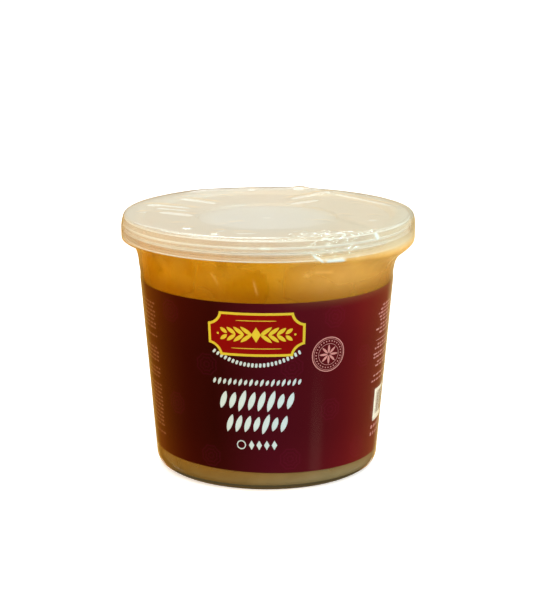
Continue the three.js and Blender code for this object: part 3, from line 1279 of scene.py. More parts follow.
@dataclass
class Label:
    """Dark wrap-round label with its lower edge a little aslant, and what is printed on it."""

    pack: Pack
    steps: int = 240
    bottom: float = 8.4 * MM
    slope: float = 0.024
    front: float = -4.0 * MM
    emblem: tuple[float, float] = (37.0 * MM, 17.6 * MM)
    emblem_height: float = 65.4 * MM
    emblem_rim: float = 1.0 * MM
    emblem_corner: float = 4.6 * MM
    arc_reach: float = 16.4 * MM
    arc_sag: float = 5.0 * MM
    arc_foot: float = 53.0 * MM
    beads: int = 23
    small_leaves: tuple[float, float, int] = (45.9 * MM, 2.1 * MM, 17)
    leaf_rows: tuple[tuple[float, float, float, int], ...] = (
        (38.3 * MM, 30.5 * MM, 7.4 * MM, 8),
        (28.8 * MM, 25.5 * MM, 7.0 * MM, 7),
    )
    last_row: float = 20.0 * MM
    seal: tuple[float, float] = (24.5 * MM, 56 * MM)
    seal_radius: float = 7.1 * MM
    seal_beads: int = 28
    seal_petals: int = 8
    side_columns: tuple[float, float] = (-52.0 * MM, 51.0 * MM)
    small_print: float = 0.7 * MM
    small_word: float = 2.6 * MM
    left_rows: tuple[float, float, float] = (71.5 * MM, 17 * MM, 1.7 * MM)
    right_rows: tuple[float, ...] = (
        *(70.3, 68.8, 67.3, 65.8, 64.3, 62.4, 60.9, 59.2),
        *(54.4, 53.0, 50.6, 49.2, 46.8, 45.4, 41.4, 39.2),
    )
    panel_size: tuple[float, float] = (27 * MM, 13.6 * MM)
    panel_place: tuple[float, float] = (55.8 * MM, 28.2 * MM)
    panel_margin: float = 2.6 * MM
    seed: int = 7

    def band(self) -> Object:
        """The label itself."""
        pack = self.pack
        foot = (pack.label_outer(self.bottom), self.bottom)
        head = (pack.label_outer(pack.label_top), pack.label_top)
        outer = [foot, *straight(foot, head, 12)]
        inner = [(r - pack.label, z) for r, z in reversed(outer)]
        band = turned("label_band", [*outer, *inner, outer[0]], self.steps)
        points = points_of(band)
        share = 1 - (points[:, 2] - self.bottom) / (pack.label_top - self.bottom)
        drop = self.slope * points[:, 0] * share
        reach = np.hypot(points[:, 0], points[:, 1])
        points[:, :2] *= ((reach - pack.draft * drop) / reach)[:, None]
        points[:, 2] -= drop
        set_points(band, points)
        finish = PrintedFilm(radius=pack.label_outer(pack.label_middle))
        return dress(band, finish.material(), "label", "label")

    def plaque(self, printer: Printer) -> tuple[Object, Object]:
        """Plaque with scooped corners: its gold rim and its red field, both flat."""
        width, height = self.emblem
        parts = []
        for keep_rim in (True, False):
            part = printer.square("plaque")
            with editing(part):
                bpy.ops.transform.resize(value=(width, 1, height))
                bpy.ops.transform.translate(value=(self.front, 0, self.emblem_height))
                bpy.ops.mesh.bevel(offset=self.emblem_corner, segments=10, profile=0.1, affect="VERTICES")
                bpy.ops.mesh.inset(thickness=self.emblem_rim)
                if not keep_rim:
                    bpy.ops.mesh.select_all(action="INVERT")
                bpy.ops.mesh.delete(type="FACE")
            parts.append(part)
        return parts[0], parts[1]

    def sprig(self, printer: Printer) -> list[Object]:
        """Leaves on both sides of a lozenge, between two thin lines."""
        middle, up = self.front, self.emblem_height
        shapes = [
            printer.stamp(Stamp.LOZENGE, middle, up, 3.6 * MM, 6.2 * MM),
            printer.stamp(Stamp.BAR, middle, up + 5.6 * MM, 15 * MM, 0.35 * MM),
            printer.stamp(Stamp.BAR, middle, up - 5.6 * MM, 19 * MM, 0.35 * MM),
        ]
        for side in (-1, 1):
            for k, length in enumerate((5.8, 5.2, 4.4, 3.4)):
                out = middle + side * (3.6 + 2.9 * k) * MM
                for half in (-1, 1):
                    place = (out, up + half * 1.35 * MM)
                    shapes.append(printer.stamp(Stamp.LEAF, *place, length * MM, 1.5 * MM, side * half * 38))
            shapes.append(printer.stamp(Stamp.DOT, middle + side * 14.6 * MM, up, 0.9 * MM, 0.9 * MM))
        return shapes

    def leaf_row(
        self, printer: Printer, draw: Draw, up: float, width: float, height: float, count: int
    ) -> list[Object]:
        """Row of slanted leaves of uneven height.

        Args:
            printer: The stamps.
            draw: Random numbers for the heights.
            up: Height of the row's middle.
            width: Width of the row.
            height: Usual height of a leaf.
            count: Number of leaves.

        Returns:
            The leaves.
        """
        pitch = width / count
        shapes = []
        for k in range(count):
            across = self.front + (k + 0.5) * pitch - width / 2
            tall = height * draw.between(0.85, 1.3)
            shapes.append(printer.stamp(Stamp.LEAF, across, up, tall, 0.62 * pitch, 72))
        return shapes

    def front_print(self, printer: Printer, draw: Draw) -> list[Object]:
        """Pale shapes of the front: an arc of beads, ornament rows and a row of lozenges."""
        shapes = []
        for k in range(self.beads):
            share = 2 * k / (self.beads - 1) - 1
            across = self.front + self.arc_reach * share
            up = self.arc_foot + self.arc_sag * share**2
            turn = math.degrees(math.atan(2 * self.arc_sag * share / self.arc_reach))
            shapes.append(printer.stamp(Stamp.BAR, across, up, 0.95 * MM, 1.7 * MM, turn - 8))
        up, pitch, count = self.small_leaves
        for k in range(count):
            across = self.front + (k - count // 2) * pitch
            tall = 3.3 * MM if k % 2 else 2.5 * MM
            shapes.append(printer.stamp(Stamp.LEAF, across, up, tall, 1.15 * MM, 68))
        for row in self.leaf_rows:
            shapes += self.leaf_row(printer, draw, *row)
        up = self.last_row
        shapes.append(printer.ring(self.front - 6.4 * MM, up, 1.9 * MM, 0.45 * MM))
        for k in range(4):
            across = self.front + (-2.2 + 3.1 * k) * MM
            shapes.append(printer.stamp(Stamp.LOZENGE, across, up, 2.3 * MM, 4.0 * MM))
        return shapes

    def seal_print(self, printer: Printer) -> list[Object]:
        """Round seal: fine rings, a ring of beads and a small flower."""
        across, up = self.seal
        radius = self.seal_radius
        shapes = [
            printer.ring(across, up, radius, 0.38 * MM),
            printer.ring(across, up, radius - 0.75 * MM, 0.14 * MM),
            printer.ring(across, up, 0.62 * radius, 0.16 * MM),
        ]
        for k in range(self.seal_beads):
            turn = math.tau * k / self.seal_beads
            x, z = across + 0.76 * radius * math.cos(turn), up + 0.76 * radius * math.sin(turn)
            shapes.append(printer.stamp(Stamp.DOT, x, z, 0.55 * MM, 0.55 * MM))
        for k in range(self.seal_petals):
            turn = math.tau * k / self.seal_petals
            x, z = across + 0.31 * radius * math.cos(turn), up + 0.31 * radius * math.sin(turn)
            shapes.append(printer.stamp(Stamp.LEAF, x, z, 0.5 * radius, 0.9 * MM, math.degrees(turn)))
        return shapes

    def left_print(self, printer: Printer, draw: Draw) -> list[Object]:
        """Column of small print at the left."""
        shapes = []
        row, last, pitch = self.left_rows
        while row > last:
            length = draw.between(20, 30) * MM
            start = self.side_columns[0] - length
            if draw.share() > 0.22:
                shapes += printer.words(draw, start, row, length, self.small_print, self.small_word)
            row -= pitch
        return shapes

    def right_print(self, printer: Printer, draw: Draw) -> list[Object]:
        """Column of small print at the right, with a line across it."""
        shapes = []
        right = self.side_columns[1]
        for up in self.right_rows:
            start = right + draw.between(0, 5) * MM
            length = draw.between(18, 26) * MM
            shapes += printer.words(draw, start, up * MM, length, self.small_print, self.small_word)
        shapes.append(printer.stamp(Stamp.BAR, right + 14 * MM, 56.3 * MM, 26 * MM, 0.4 * MM))
        for up in (19.0, 16.0):
            shapes += printer.words(draw, right + 3.5 * MM, up * MM, 24 * MM, 1.4 * MM, 1.6 * MM)
        return shapes

    def panel(self, printer: Printer, draw: Draw) -> tuple[list[Object], list[Object]]:
        """Pale panel at the right and the dark stripes on it.

        Args:
            printer: The stamps.
            draw: Random numbers for the stripes.

        Returns:
            The panel's shapes and the stripes.
        """
        width, height = self.panel_size
        start, up = self.panel_place
        pale = [printer.stamp(Stamp.BLOCK, start + width / 2, up, width, height)]
        dark, here = [], start + self.panel_margin
        while here < start + width - self.panel_margin:
            thick = draw.between(0.25, 0.9) * MM
            dark.append(printer.stamp(Stamp.BLOCK, here + thick / 2, up + 0.6 * MM, thick, height - 4 * MM))
            here += thick + draw.between(0.3, 0.9) * MM
        return pale, dark

    def build(self) -> list[Object]:
        """Makes the label and its print."""
        draw = Draw(self.seed)
        printer = Printer(self.pack)
        pieces = [self.band()]
        rim, field = self.plaque(printer)
        block, stripes = self.panel(printer, draw)
        prints = (
            ("front_print", self.front_print(printer, draw), Inks.PALE, False),
            ("seal_print", self.seal_print(printer), Inks.ROSE, False),
            ("left_print", self.left_print(printer, draw), Inks.BROWN, False),
            ("right_print", self.right_print(printer, draw), Inks.ROSE, False),
            ("plaque_field", [field], Inks.RED, False),
            ("plaque_gold", [rim, *self.sprig(printer)], Inks.GOLD, True),
            ("side_panel", block, Inks.CREAM, False),
            ("panel_stripes", stripes, Inks.DARK, True),
        )
        materials = {ink: ink.value.material() for ink in Inks}
        for name, shapes, ink, raised in prints:
            pieces.append(dress(printer.onto_label(name, shapes, raised), materials[ink], "label"))
        printer.clear()
        return pieces


# ------------------------------------------------------------------ jaggery


@dataclass(frozen=True)
class BlockRing:
    """Ring of blocks: how many, how far out, how high, how uneven in height and how large."""

    count: int
    radius: float
    height: float
    lift: float
    scale: float


@dataclass
class JaggeryHeap:
    """Blocks of jaggery pressed against the tub, over a plain core, with crumbs between.

    A crumb zone is its lowest and highest place, the shares of the reach that it runs
    between, and how many crumbs are in it.
    """

    pack: Pack
    seed: int = 20
    block: tuple[float, float, float] = (22 * MM, 27 * MM, 20 * MM)
    roundness: float = 0.62
    into_wall: float = 0.12 * MM
    relief: float = 0.7 * MM
    core_top: float = 91 * MM
    core_gap: float = 0.27 * MM
    core_steps: int = 90
    rings: tuple[BlockRing, ...] = (
        BlockRing(9, 35 * MM, 11 * MM, 2 * MM, 0.95),
        BlockRing(10, 41 * MM, 85 * MM, 5 * MM, 1.0),
        BlockRing(5, 22 * MM, 87 * MM, 4 * MM, 0.95),
        BlockRing(1, 2 * MM, 86 * MM, 2 * MM, 1.0),
    )
    crumb_zones: tuple[tuple[float, float, float, float, int], ...] = (
        (86 * MM, 95 * MM, 0.90, 0.985, 40),
        (3 * MM, 18 * MM, 0.86, 0.99, 120),
        (88 * MM, 93 * MM, 0.10, 0.88, 90),
    )

    def __post_init__(self) -> None:
        """Works out the floor and the ceiling that the blocks keep to."""
        self.floor = self.pack.base_recess + self.pack.wall - self.into_wall
        self.ceiling = self.pack.disc_top - 1.2 * MM

    def reach(self, z: np.ndarray) -> np.ndarray:
        """Largest radius that the blocks have at a height: just into the tub's wall."""
        pack = self.pack
        centre = pack.base_recess + pack.corner
        radius = centre - self.floor
        wall = pack.tub_inner(np.maximum(z, centre)) + self.into_wall
        low = np.maximum(centre - z, 0.0)
        return wall - radius + np.sqrt(np.maximum(radius**2 - low**2, 0.0))

    def pressed(self, points: np.ndarray) -> np.ndarray:
        """Points moved in where they would go past the tub's floor or wall."""
        points[:, 2] = np.clip(points[:, 2], self.floor, self.ceiling)
        out = np.hypot(points[:, 0], points[:, 1])
        share = np.minimum(self.reach(points[:, 2]) / np.maximum(out, 1e-9), 1.0)
        points[:, :2] *= share[:, None]
        return points

    def roughened(self, points: np.ndarray, amount: float, size: float) -> np.ndarray:
        """Points pushed about by soft noise of a given size."""
        moves = [noise.noise_vector(Vector(p) / size) for p in points]
        return points + amount * np.array(moves)

    def master(self, cuts: int, name: str) -> Object:
        """Rounded cube, one unit wide, to copy from.

        Args:
            cuts: How often each edge is cut.
            name: Its name.

        Returns:
            The cube.
        """
        pick()
        bpy.ops.mesh.primitive_cube_add(size=1)
        obj = named(name)
        with editing(obj):
            bpy.ops.mesh.subdivide(number_cuts=cuts)
        bake_modifier(obj, "CAST", cast_type="SPHERE", factor=self.roundness, size=0.62)
        return obj

    def blocks(self) -> Object:
        """The blocks, ring by ring."""
        draw = Draw(self.seed)
        master = self.master(15, "block")
        lumps = []
        for ring in self.rings:
            for k in range(ring.count):
                angle = (k + draw.vary(0.35)) * math.tau / ring.count
                size = [length * ring.scale * (1 + draw.vary(0.24)) for length in self.block]
                turn = (draw.vary(0.5), draw.vary(0.4), angle + draw.vary(0.5))
                out = ring.radius + draw.vary(2 * MM)
                lift = ring.height + draw.vary(ring.lift)
                place = Matrix.Translation((out * math.cos(angle), out * math.sin(angle), lift))
                matrix = place @ Euler(turn).to_matrix().to_4x4() @ Matrix.Diagonal((*size, 1))
                lump = copy_of(master, matrix)
                rough = self.roughened(points_of(lump), self.relief, 7 * MM)
                rough = self.roughened(rough, 0.3 * self.relief, 2.2 * MM)
                set_points(lump, self.pressed(rough))
                lumps.append(lump)
        remove(master)
        blocks = joined("jaggery_lumps", lumps)
        smooth(blocks, 70)
        return blocks

    def crumbs(self) -> Object:
        """Small broken pieces in the gaps between the blocks and on top of them."""
        draw = Draw(self.seed + 1)
        master = self.master(3, "crumb")
        crumbs = []
        for low, high, near, far, count in self.crumb_zones:
            for _ in range(count):
                up = draw.between(low, high)
                size = draw.between(3, 9) * MM
                angle = draw.between(0, math.tau)
                out = float(self.reach(np.array(up))) * draw.between(near, far)
                place = Matrix.Translation((out * math.cos(angle), out * math.sin(angle), up))
                turn = Euler([draw.between(0, math.tau) for _ in range(3)]).to_matrix().to_4x4()
                shape = Matrix.Diagonal((size, size * draw.between(0.6, 1), size * draw.between(0.5, 0.9), 1))
                crumb = copy_of(master, place @ turn @ shape)
                rough = self.roughened(points_of(crumb), 0.5 * MM, 2.5 * MM)
                set_points(crumb, self.pressed(rough))
                crumbs.append(crumb)
        remove(master)
        piece = joined("jaggery_crumbs", crumbs)
        smooth(piece, 60)
        return piece

    def core(self) -> Object:
        """Plain core behind the label and under the lumps that show."""
        floor = self.pack.base_recess + self.pack.wall + 1 * MM
        gap = self.core_gap
        side_low = float(self.reach(np.array(20 * MM))) - gap
        side_high = float(self.reach(np.array(72 * MM))) - gap
        section = [
            (0, floor),
            (36 * MM, floor),
            *through([(36 * MM, floor), (40 * MM, 7 * MM), (42 * MM, 14 * MM), (side_low, 21 * MM)], 4),
            *straight((side_low, 21 * MM), (side_high, 72 * MM), 10),
            *through(
                [
                    (side_high, 72 * MM),
                    (side_high + 0.65 * MM, 80 * MM),
                    (side_high + 1.2 * MM, 88 * MM),
                    (side_high + 0.2 * MM, 92.5 * MM),
                    (side_high - 5 * MM, self.core_top + 3 * MM),
                    (34 * MM, self.core_top - 1 * MM),
                ],
                4,
            ),
            *straight((34 * MM, self.core_top - 1 * MM), (0, self.core_top - 3 * MM), 8),
        ]
        return turned("jaggery_core", section, self.core_steps)

    def build(self) -> list[Object]:
        """Makes the heap, with the same roughness in every run."""
        noise.seed_set(self.seed)
        sugar = Jaggery(self.pack.tub_inner).material()
        return [
            dress(self.blocks(), sugar, "jaggery", "jaggery_blocks"),
            dress(self.crumbs(), sugar, "jaggery", "jaggery_blocks"),
            dress(self.core(), sugar, "jaggery", "jaggery_blocks"),
        ]


# ------------------------------------------------------------------ film


@dataclass(frozen=True)
class Hang:
    """How the film hangs on one side, from the lid's shoulder to the wall."""

    shoulder: float
    upper: float
    lid: float
    hem_top: float
    hem_bottom: float
    hang: float
    flare: float
    pull: float


@dataclass(frozen=True)
class Crease:
    """Straight crease on the film.

    On the lid a point is (x, y); on the wall it is (degrees from the front, height).
    """

    start: Point
    end: Point
    height: float
    width: float


def creases(sideways: float, *rows: tuple[float, ...]) -> tuple[Crease, ...]:
    """Creases from rows of numbers.

    Args:
        sideways: What the first number of a point counts in: MM on the lid, 1 on the wall.
        rows: For each crease the two numbers of its start and of its end, its height and
            its width. All but the first number of a point are in mm.

    Returns:
        The creases.
    """
    return tuple(
        Crease((a * sideways, b * MM), (c * sideways, d * MM), height * MM, width * MM)
        for a, b, c, d, height, width in rows
    )


@dataclass
class Film:
    """Thin film hood: taut on most sides, slack on the +X side, with folds at the back.

    A fold is its angle from +X and its spread, in degrees, and its height.
    """

    pack: Pack
    steps: int = 600
    taut: Hang = Hang(57.7 * MM, 58.4 * MM, 58.85 * MM, 95 * MM, 84 * MM, 1 * MM, 12 * MM, 0.6 * MM)
    slack: Hang = Hang(59 * MM, 59.8 * MM, 59.95 * MM, 95 * MM, 82.5 * MM, 4 * MM, 8 * MM, 0.4 * MM)
    slack_full: float = 25.0
    slack_end: float = 78.0
    end_angle: float = -45.0
    eye: float = 4.0 * MM
    lid_parts: tuple[float, float] = (28 * MM, 42 * MM)
    lid_rows: tuple[int, int, int] = (24, 18, 42)
    shoulder_rows: int = 9
    hem_rows: int = 18
    wall_rows: tuple[int, int] = (8, 12)
    wall_part: float = 76 * MM
    ripple: float = 0.07 * MM
    folds: tuple[tuple[float, float, float], ...] = ((75, 3.5, 0.75 * MM), (122, 12, 0.3 * MM))
    unroll: float = 50 * MM
    seed: int = 31
    lid_creases: tuple[Crease, ...] = creases(
        MM,
        (-37.5, 27.8, -19.8, 15.1, 0.55, 1.9),
        (-50.9, 13.6, -28.4, 2.2, 0.60, 2.0),
        (-46.5, 6.0, -29.0, -3.5, 0.40, 1.6),
        (-44.3, -3.2, -28.6, -11.9, 0.55, 1.9),
        (-33.0, -38.2, -28.4, -39.4, 0.42, 1.5),
        (-21.5, -49.6, -17.5, -48.8, 0.45, 1.3),
        (-14.0, -45.0, -5.0, -45.5, 0.20, 1.0),
        (-13.0, -48.5, -3.0, -48.0, 0.20, 1.0),
        (-9.5, 54.2, -6.0, 46.6, 0.45, 1.5),
        (8.4, 24.6, 29.0, 46.3, 0.60, 1.7),
        (9.1, 13.8, 22.6, 24.7, 0.50, 1.5),
        (25.7, 43.3, 54.0, 6.0, 0.50, 1.5),
        (24.0, -9.4, 40.0, -38.6, 0.20, 1.8),
        (40.6, -38.6, 40.4, -49.0, 0.6, 1.2),
        (40.2, -20.1, 42.3, -22.2, 0.35, 1.2),
    )
    # Painted highlights are marked on these wall creases and on the glints.
    wall_creases: tuple[Crease, ...] = creases(
        1,
        (-23.9, 89.3, -21.2, 85.5, 0.16, 0.26),
        (-5.8, 87.3, -4.2, 81.3, 0.16, 0.26),
        (14.8, 88.0, 19.1, 89.7, 0.16, 0.34),
        (19.1, 89.7, 28.8, 89.3, 0.16, 0.36),
        (16.5, 98.2, 21.5, 94.4, 0.22, 0.30),
        (21.8, 95.0, 30.5, 94.6, 0.26, 0.5),
    )
    rim_creases: tuple[Crease, ...] = creases(
        1,
        (-34.0, 100.5, -20.0, 100.8, 0.20, 0.40),
        (20.0, 101.3, 34.0, 101.7, 0.26, 0.45),
        (22.0, 100.4, 29.0, 101.2, 0.22, 0.40),
    )
    glints: tuple[Crease, ...] = creases(
        1,
        (-11.0, 100.7, -6.0, 100.9, 0.10, 0.32),
        (-3.5, 100.8, 2.0, 100.6, 0.15, 0.36),
        (44.2, 103.8, 45.4, 100.8, 0.28, 0.50),
    )
    front_creases: int = 28
    far_creases: int = 18
    shoulder_crinkles: int = 26
    full_mark: float = 0.16 * MM
    label_step: Point = (78.3 * MM, 79.8 * MM)
    label_step_end: Point = (81 * MM, 84 * MM)
    label_step_depth: float = 0.22 * MM
    hem_zone: tuple[Point, Point] = ((82 * MM, 87 * MM), (93 * MM, 96 * MM))
    hem_waves: int = 7
    hem_wave: float = 0.02 * MM

    def line(self, hang: Hang) -> Line:
        """Line of the film from its open edge up to the middle of the lid.

        Args:
            hang: How the film hangs there.

        Returns:
            The line's points.
        """
        pack = self.pack
        top = pack.lid_top + pack.skin_gap + pack.film
        flat_end = pack.lid_radius - 2.1 * MM
        lid_edge = (hang.lid, hang.hem_top)
        wall_edge = (pack.outline(hang.hem_bottom), hang.hem_bottom)
        below_lid = (lid_edge[0], lid_edge[1] - hang.hang)
        above_wall = (wall_edge[0] + hang.pull, wall_edge[1] + hang.flare)
        above_label = (pack.outline(self.wall_part), self.wall_part)
        shoulder = [
            (flat_end, top),
            (hang.shoulder, top - 0.5 * MM),
            (hang.upper, pack.rib_top + 1.1 * MM),
            (hang.lid, pack.rib_bottom + 0.4 * MM),
            lid_edge,
        ]
        corner = pack.foot_corner(pack.outline, 0, pack.corner + 0.5 * MM, 6, self.end_angle)
        corner.reverse()
        down = [(0.0, top), (self.eye, top)]
        for radius, rows in zip((*self.lid_parts, flat_end), self.lid_rows):
            down += straight(down[-1], (radius, top), rows)
        down += [
            *through(shoulder, self.shoulder_rows),
            *cubic(lid_edge, below_lid, above_wall, wall_edge, self.hem_rows),
            *straight(wall_edge, above_label, self.wall_rows[0]),
            *straight(above_label, corner[0], self.wall_rows[1]),
            *corner[1:],
        ]
        return down[::-1]

    def slack_at(self, angle: np.ndarray) -> np.ndarray:
        """How slack the film hangs at an angle from +X, from 0 where it is taut to 1."""
        away = np.degrees(np.abs(np.arctan2(np.sin(angle), np.cos(angle))))
        return 1 - smoothstep(away, self.slack_full, self.slack_end)

    def fold_height(self, angle: np.ndarray) -> np.ndarray:
        """Height that the folds at the back of the rim add to the film."""
        height = np.zeros_like(angle)
        for at, spread, rise in self.folds:
            height += rise * np.exp(-(((np.degrees(angle) - at) / spread) ** 2))
        return height

    @staticmethod
    def crease_height(x: np.ndarray, y: np.ndarray, crease: Crease) -> np.ndarray:
        """Height of a crease, steep on one side, gentle on the other and fading at its ends.

        Args:
            x: First numbers of the points to work it out at.
            y: Their second numbers.
            crease: The crease.

        Returns:
            Its height at each point.
        """
        (x0, y0), (x1, y1) = crease.start, crease.end
        length = math.hypot(x1 - x0, y1 - y0)
        ux, uy = (x1 - x0) / length, (y1 - y0) / length
        along = ((x - x0) * ux + (y - y0) * uy) / length
        side = ((x - x0) * -uy + (y - y0) * ux) / crease.width
        slope = np.where(side > 0, side * 0.5, side)
        ends = smoothstep(along, -0.1, 0.25) * (1 - smoothstep(along, 0.75, 1.1))
        return crease.height * np.exp(-(slope**2)) * ends

    def wall_height(self, across: np.ndarray, up: np.ndarray, lines: Sequence[Crease]) -> np.ndarray:
        """Height of creases of the wall.

        Args:
            across: Places of points along the unrolled wall.
            up: Their heights.
            lines: The creases.

        Returns:
            The height at each point.
        """
        height = np.zeros_like(up)
        for crease in lines:
            start = (math.radians(crease.start[0]) * self.unroll, crease.start[1])
            end = (math.radians(crease.end[0]) * self.unroll, crease.end[1])
            height += self.crease_height(across, up, Crease(start, end, crease.height, crease.width))
        return height

    def loose_creases(self, draw: Draw) -> list[Crease]:
        """Short creases scattered on the lid, most of them crowded at the front edge."""
        lines = []
        for _ in range(self.front_creases):
            x, y = draw.between(7, 33) * MM, draw.between(-56, -44) * MM
            turn, length = draw.between(-1.1, 1.1), draw.between(2, 6) * MM
            end = (x + length * math.cos(turn), y + length * math.sin(turn))
            lines.append(Crease((x, y), end, draw.between(0.12, 0.36) * MM, 0.5 * MM))
        for _ in range(self.far_creases):
            turn, out = draw.between(0, math.tau), draw.between(30, 54) * MM
            x, y = out * math.cos(turn), out * math.sin(turn)
            way, length = turn + draw.vary(1.6), draw.between(3, 9) * MM
            end = (x - length * math.cos(way), y - length * math.sin(way))
            lines.append(Crease((x, y), end, draw.between(0.08, 0.25) * MM, 1.4 * MM))
        return lines

    def shoulder_creases(self, draw: Draw) -> list[Crease]:
        """Crinkles on the film's shoulder and skirt, at the front right."""
        lines = []
        for _ in range(self.shoulder_crinkles):
            turn, up = draw.between(17, 36), draw.between(96, 102.5) * MM
            way, length = draw.between(-0.6, 0.6), draw.between(1.5, 4.5) * MM
            end = (turn + math.degrees(length * math.cos(way) / self.unroll), up + length * math.sin(way))
            lines.append(Crease((turn, up), end, draw.between(0.15, 0.32) * MM, 0.45 * MM))
        return lines

    def shaped(self, along: np.ndarray, angle: np.ndarray) -> np.ndarray:
        """Places of the film's points.

        Args:
            along: Each point's number along the line.
            angle: Each point's angle from +X, in radians.

        Returns:
            Their places, one row each.
        """
        draw = Draw(self.seed)
        pack = self.pack
        taut, slack = np.array(self.line(self.taut)), np.array(self.line(self.slack))
        number = np.rint(along).astype(int)
        share = self.slack_at(angle)[:, None]
        r, z = (taut[number] * (1 - share) + slack[number] * share).T
        top = pack.lid_top + pack.skin_gap + pack.film
        x, y = r * np.cos(angle), r * np.sin(angle)

        on_lid = smoothstep(z, top - 1.5 * MM, top - 0.3 * MM)
        on_rim = on_lid * smoothstep(r, pack.lid_rim_inner - 4 * MM, pack.lid_rim_inner + 2 * MM)
        lift = self.ripple * (1 + np.sin(5 * angle + r / (7 * MM))) * smoothstep(r, 15 * MM, 55 * MM)
        lift += on_rim * self.fold_height(angle)
        for crease in (*self.lid_creases, *self.loose_creases(draw)):
            lift += self.crease_height(x, y, crease)
        z = z + on_lid * lift

        front = np.degrees(np.arctan2(x, -y))
        arc_length = np.radians(front) * self.unroll
        push = self.wall_height(arc_length, z, self.wall_creases)
        hem = smoothstep(z, *self.hem_zone[0]) * (1 - smoothstep(z, *self.hem_zone[1]))
        for _ in range(self.hem_waves):
            waves, phase = int(draw.between(17, 70)), draw.between(0, math.tau)
            push += hem * self.hem_wave * np.sin(waves * angle + phase + z / (9 * MM))
        over_label = smoothstep(z, *self.label_step) * (1 - smoothstep(z, *self.label_step_end))
        push -= self.label_step_depth * over_label
        push *= 1 - smoothstep(z, 95.5 * MM, 98.5 * MM)
        rim = (*self.rim_creases, *self.glints, *self.shoulder_creases(draw))
        push += self.wall_height(arc_length, z, rim)
        r = r + push
        places = np.column_stack((r * np.cos(angle), r * np.sin(angle), z))
        low, high = np.array(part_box("film"))
        return np.clip(places, low, high)

    def mark_crease_highlights(self, film: Object) -> None:
        """Keeps how strongly each point lies on a crease that gets a painted highlight, for the finish."""
        points = points_of(film)
        across = np.arctan2(points[:, 0], -points[:, 1]) * self.unroll
        height = self.wall_height(across, points[:, 2], (*self.wall_creases, *self.glints))
        marks = film.data.attributes.new(CREASE_HIGHLIGHTS, "FLOAT", "POINT")
        marks.data.foreach_set("value", np.minimum(height / self.full_mark, 1.0).astype(np.float32))

    def build(self) -> Object:
        """Turns the film, shapes it and gives it its finish."""
        film = turned("shrink_film", self.line(self.taut), self.steps, numbered=True)
        points = points_of(film)
        along = np.empty(len(points), dtype=np.float32)
        film.data.attributes["along"].data.foreach_get("value", along)
        angle = np.arctan2(points[:, 1], points[:, 0])
        set_points(film, self.shaped(along, angle))
        film.data.attributes.remove(film.data.attributes["along"])
        self.mark_crease_highlights(film)
        smooth(film, 75)
        film.visible_shadow = False
        return dress(film, ClearFilm().material(), "film", "film")


# ------------------------------------------------------------------ studio


@dataclass(frozen=True)
class Lamp:
    """Soft light with straight edges that faces the tub."""

    name: str
    place: tuple[float, float, float]
    width: float
    height: float
    power: float
    colour: Colour
    mirrored: bool


@dataclass(frozen=True)
class Pane:
    """Bright pane of the mirrored room: how it fades in and out on its way up, and its colour."""

    bottom: Point
    top: Point
    colour: Colour


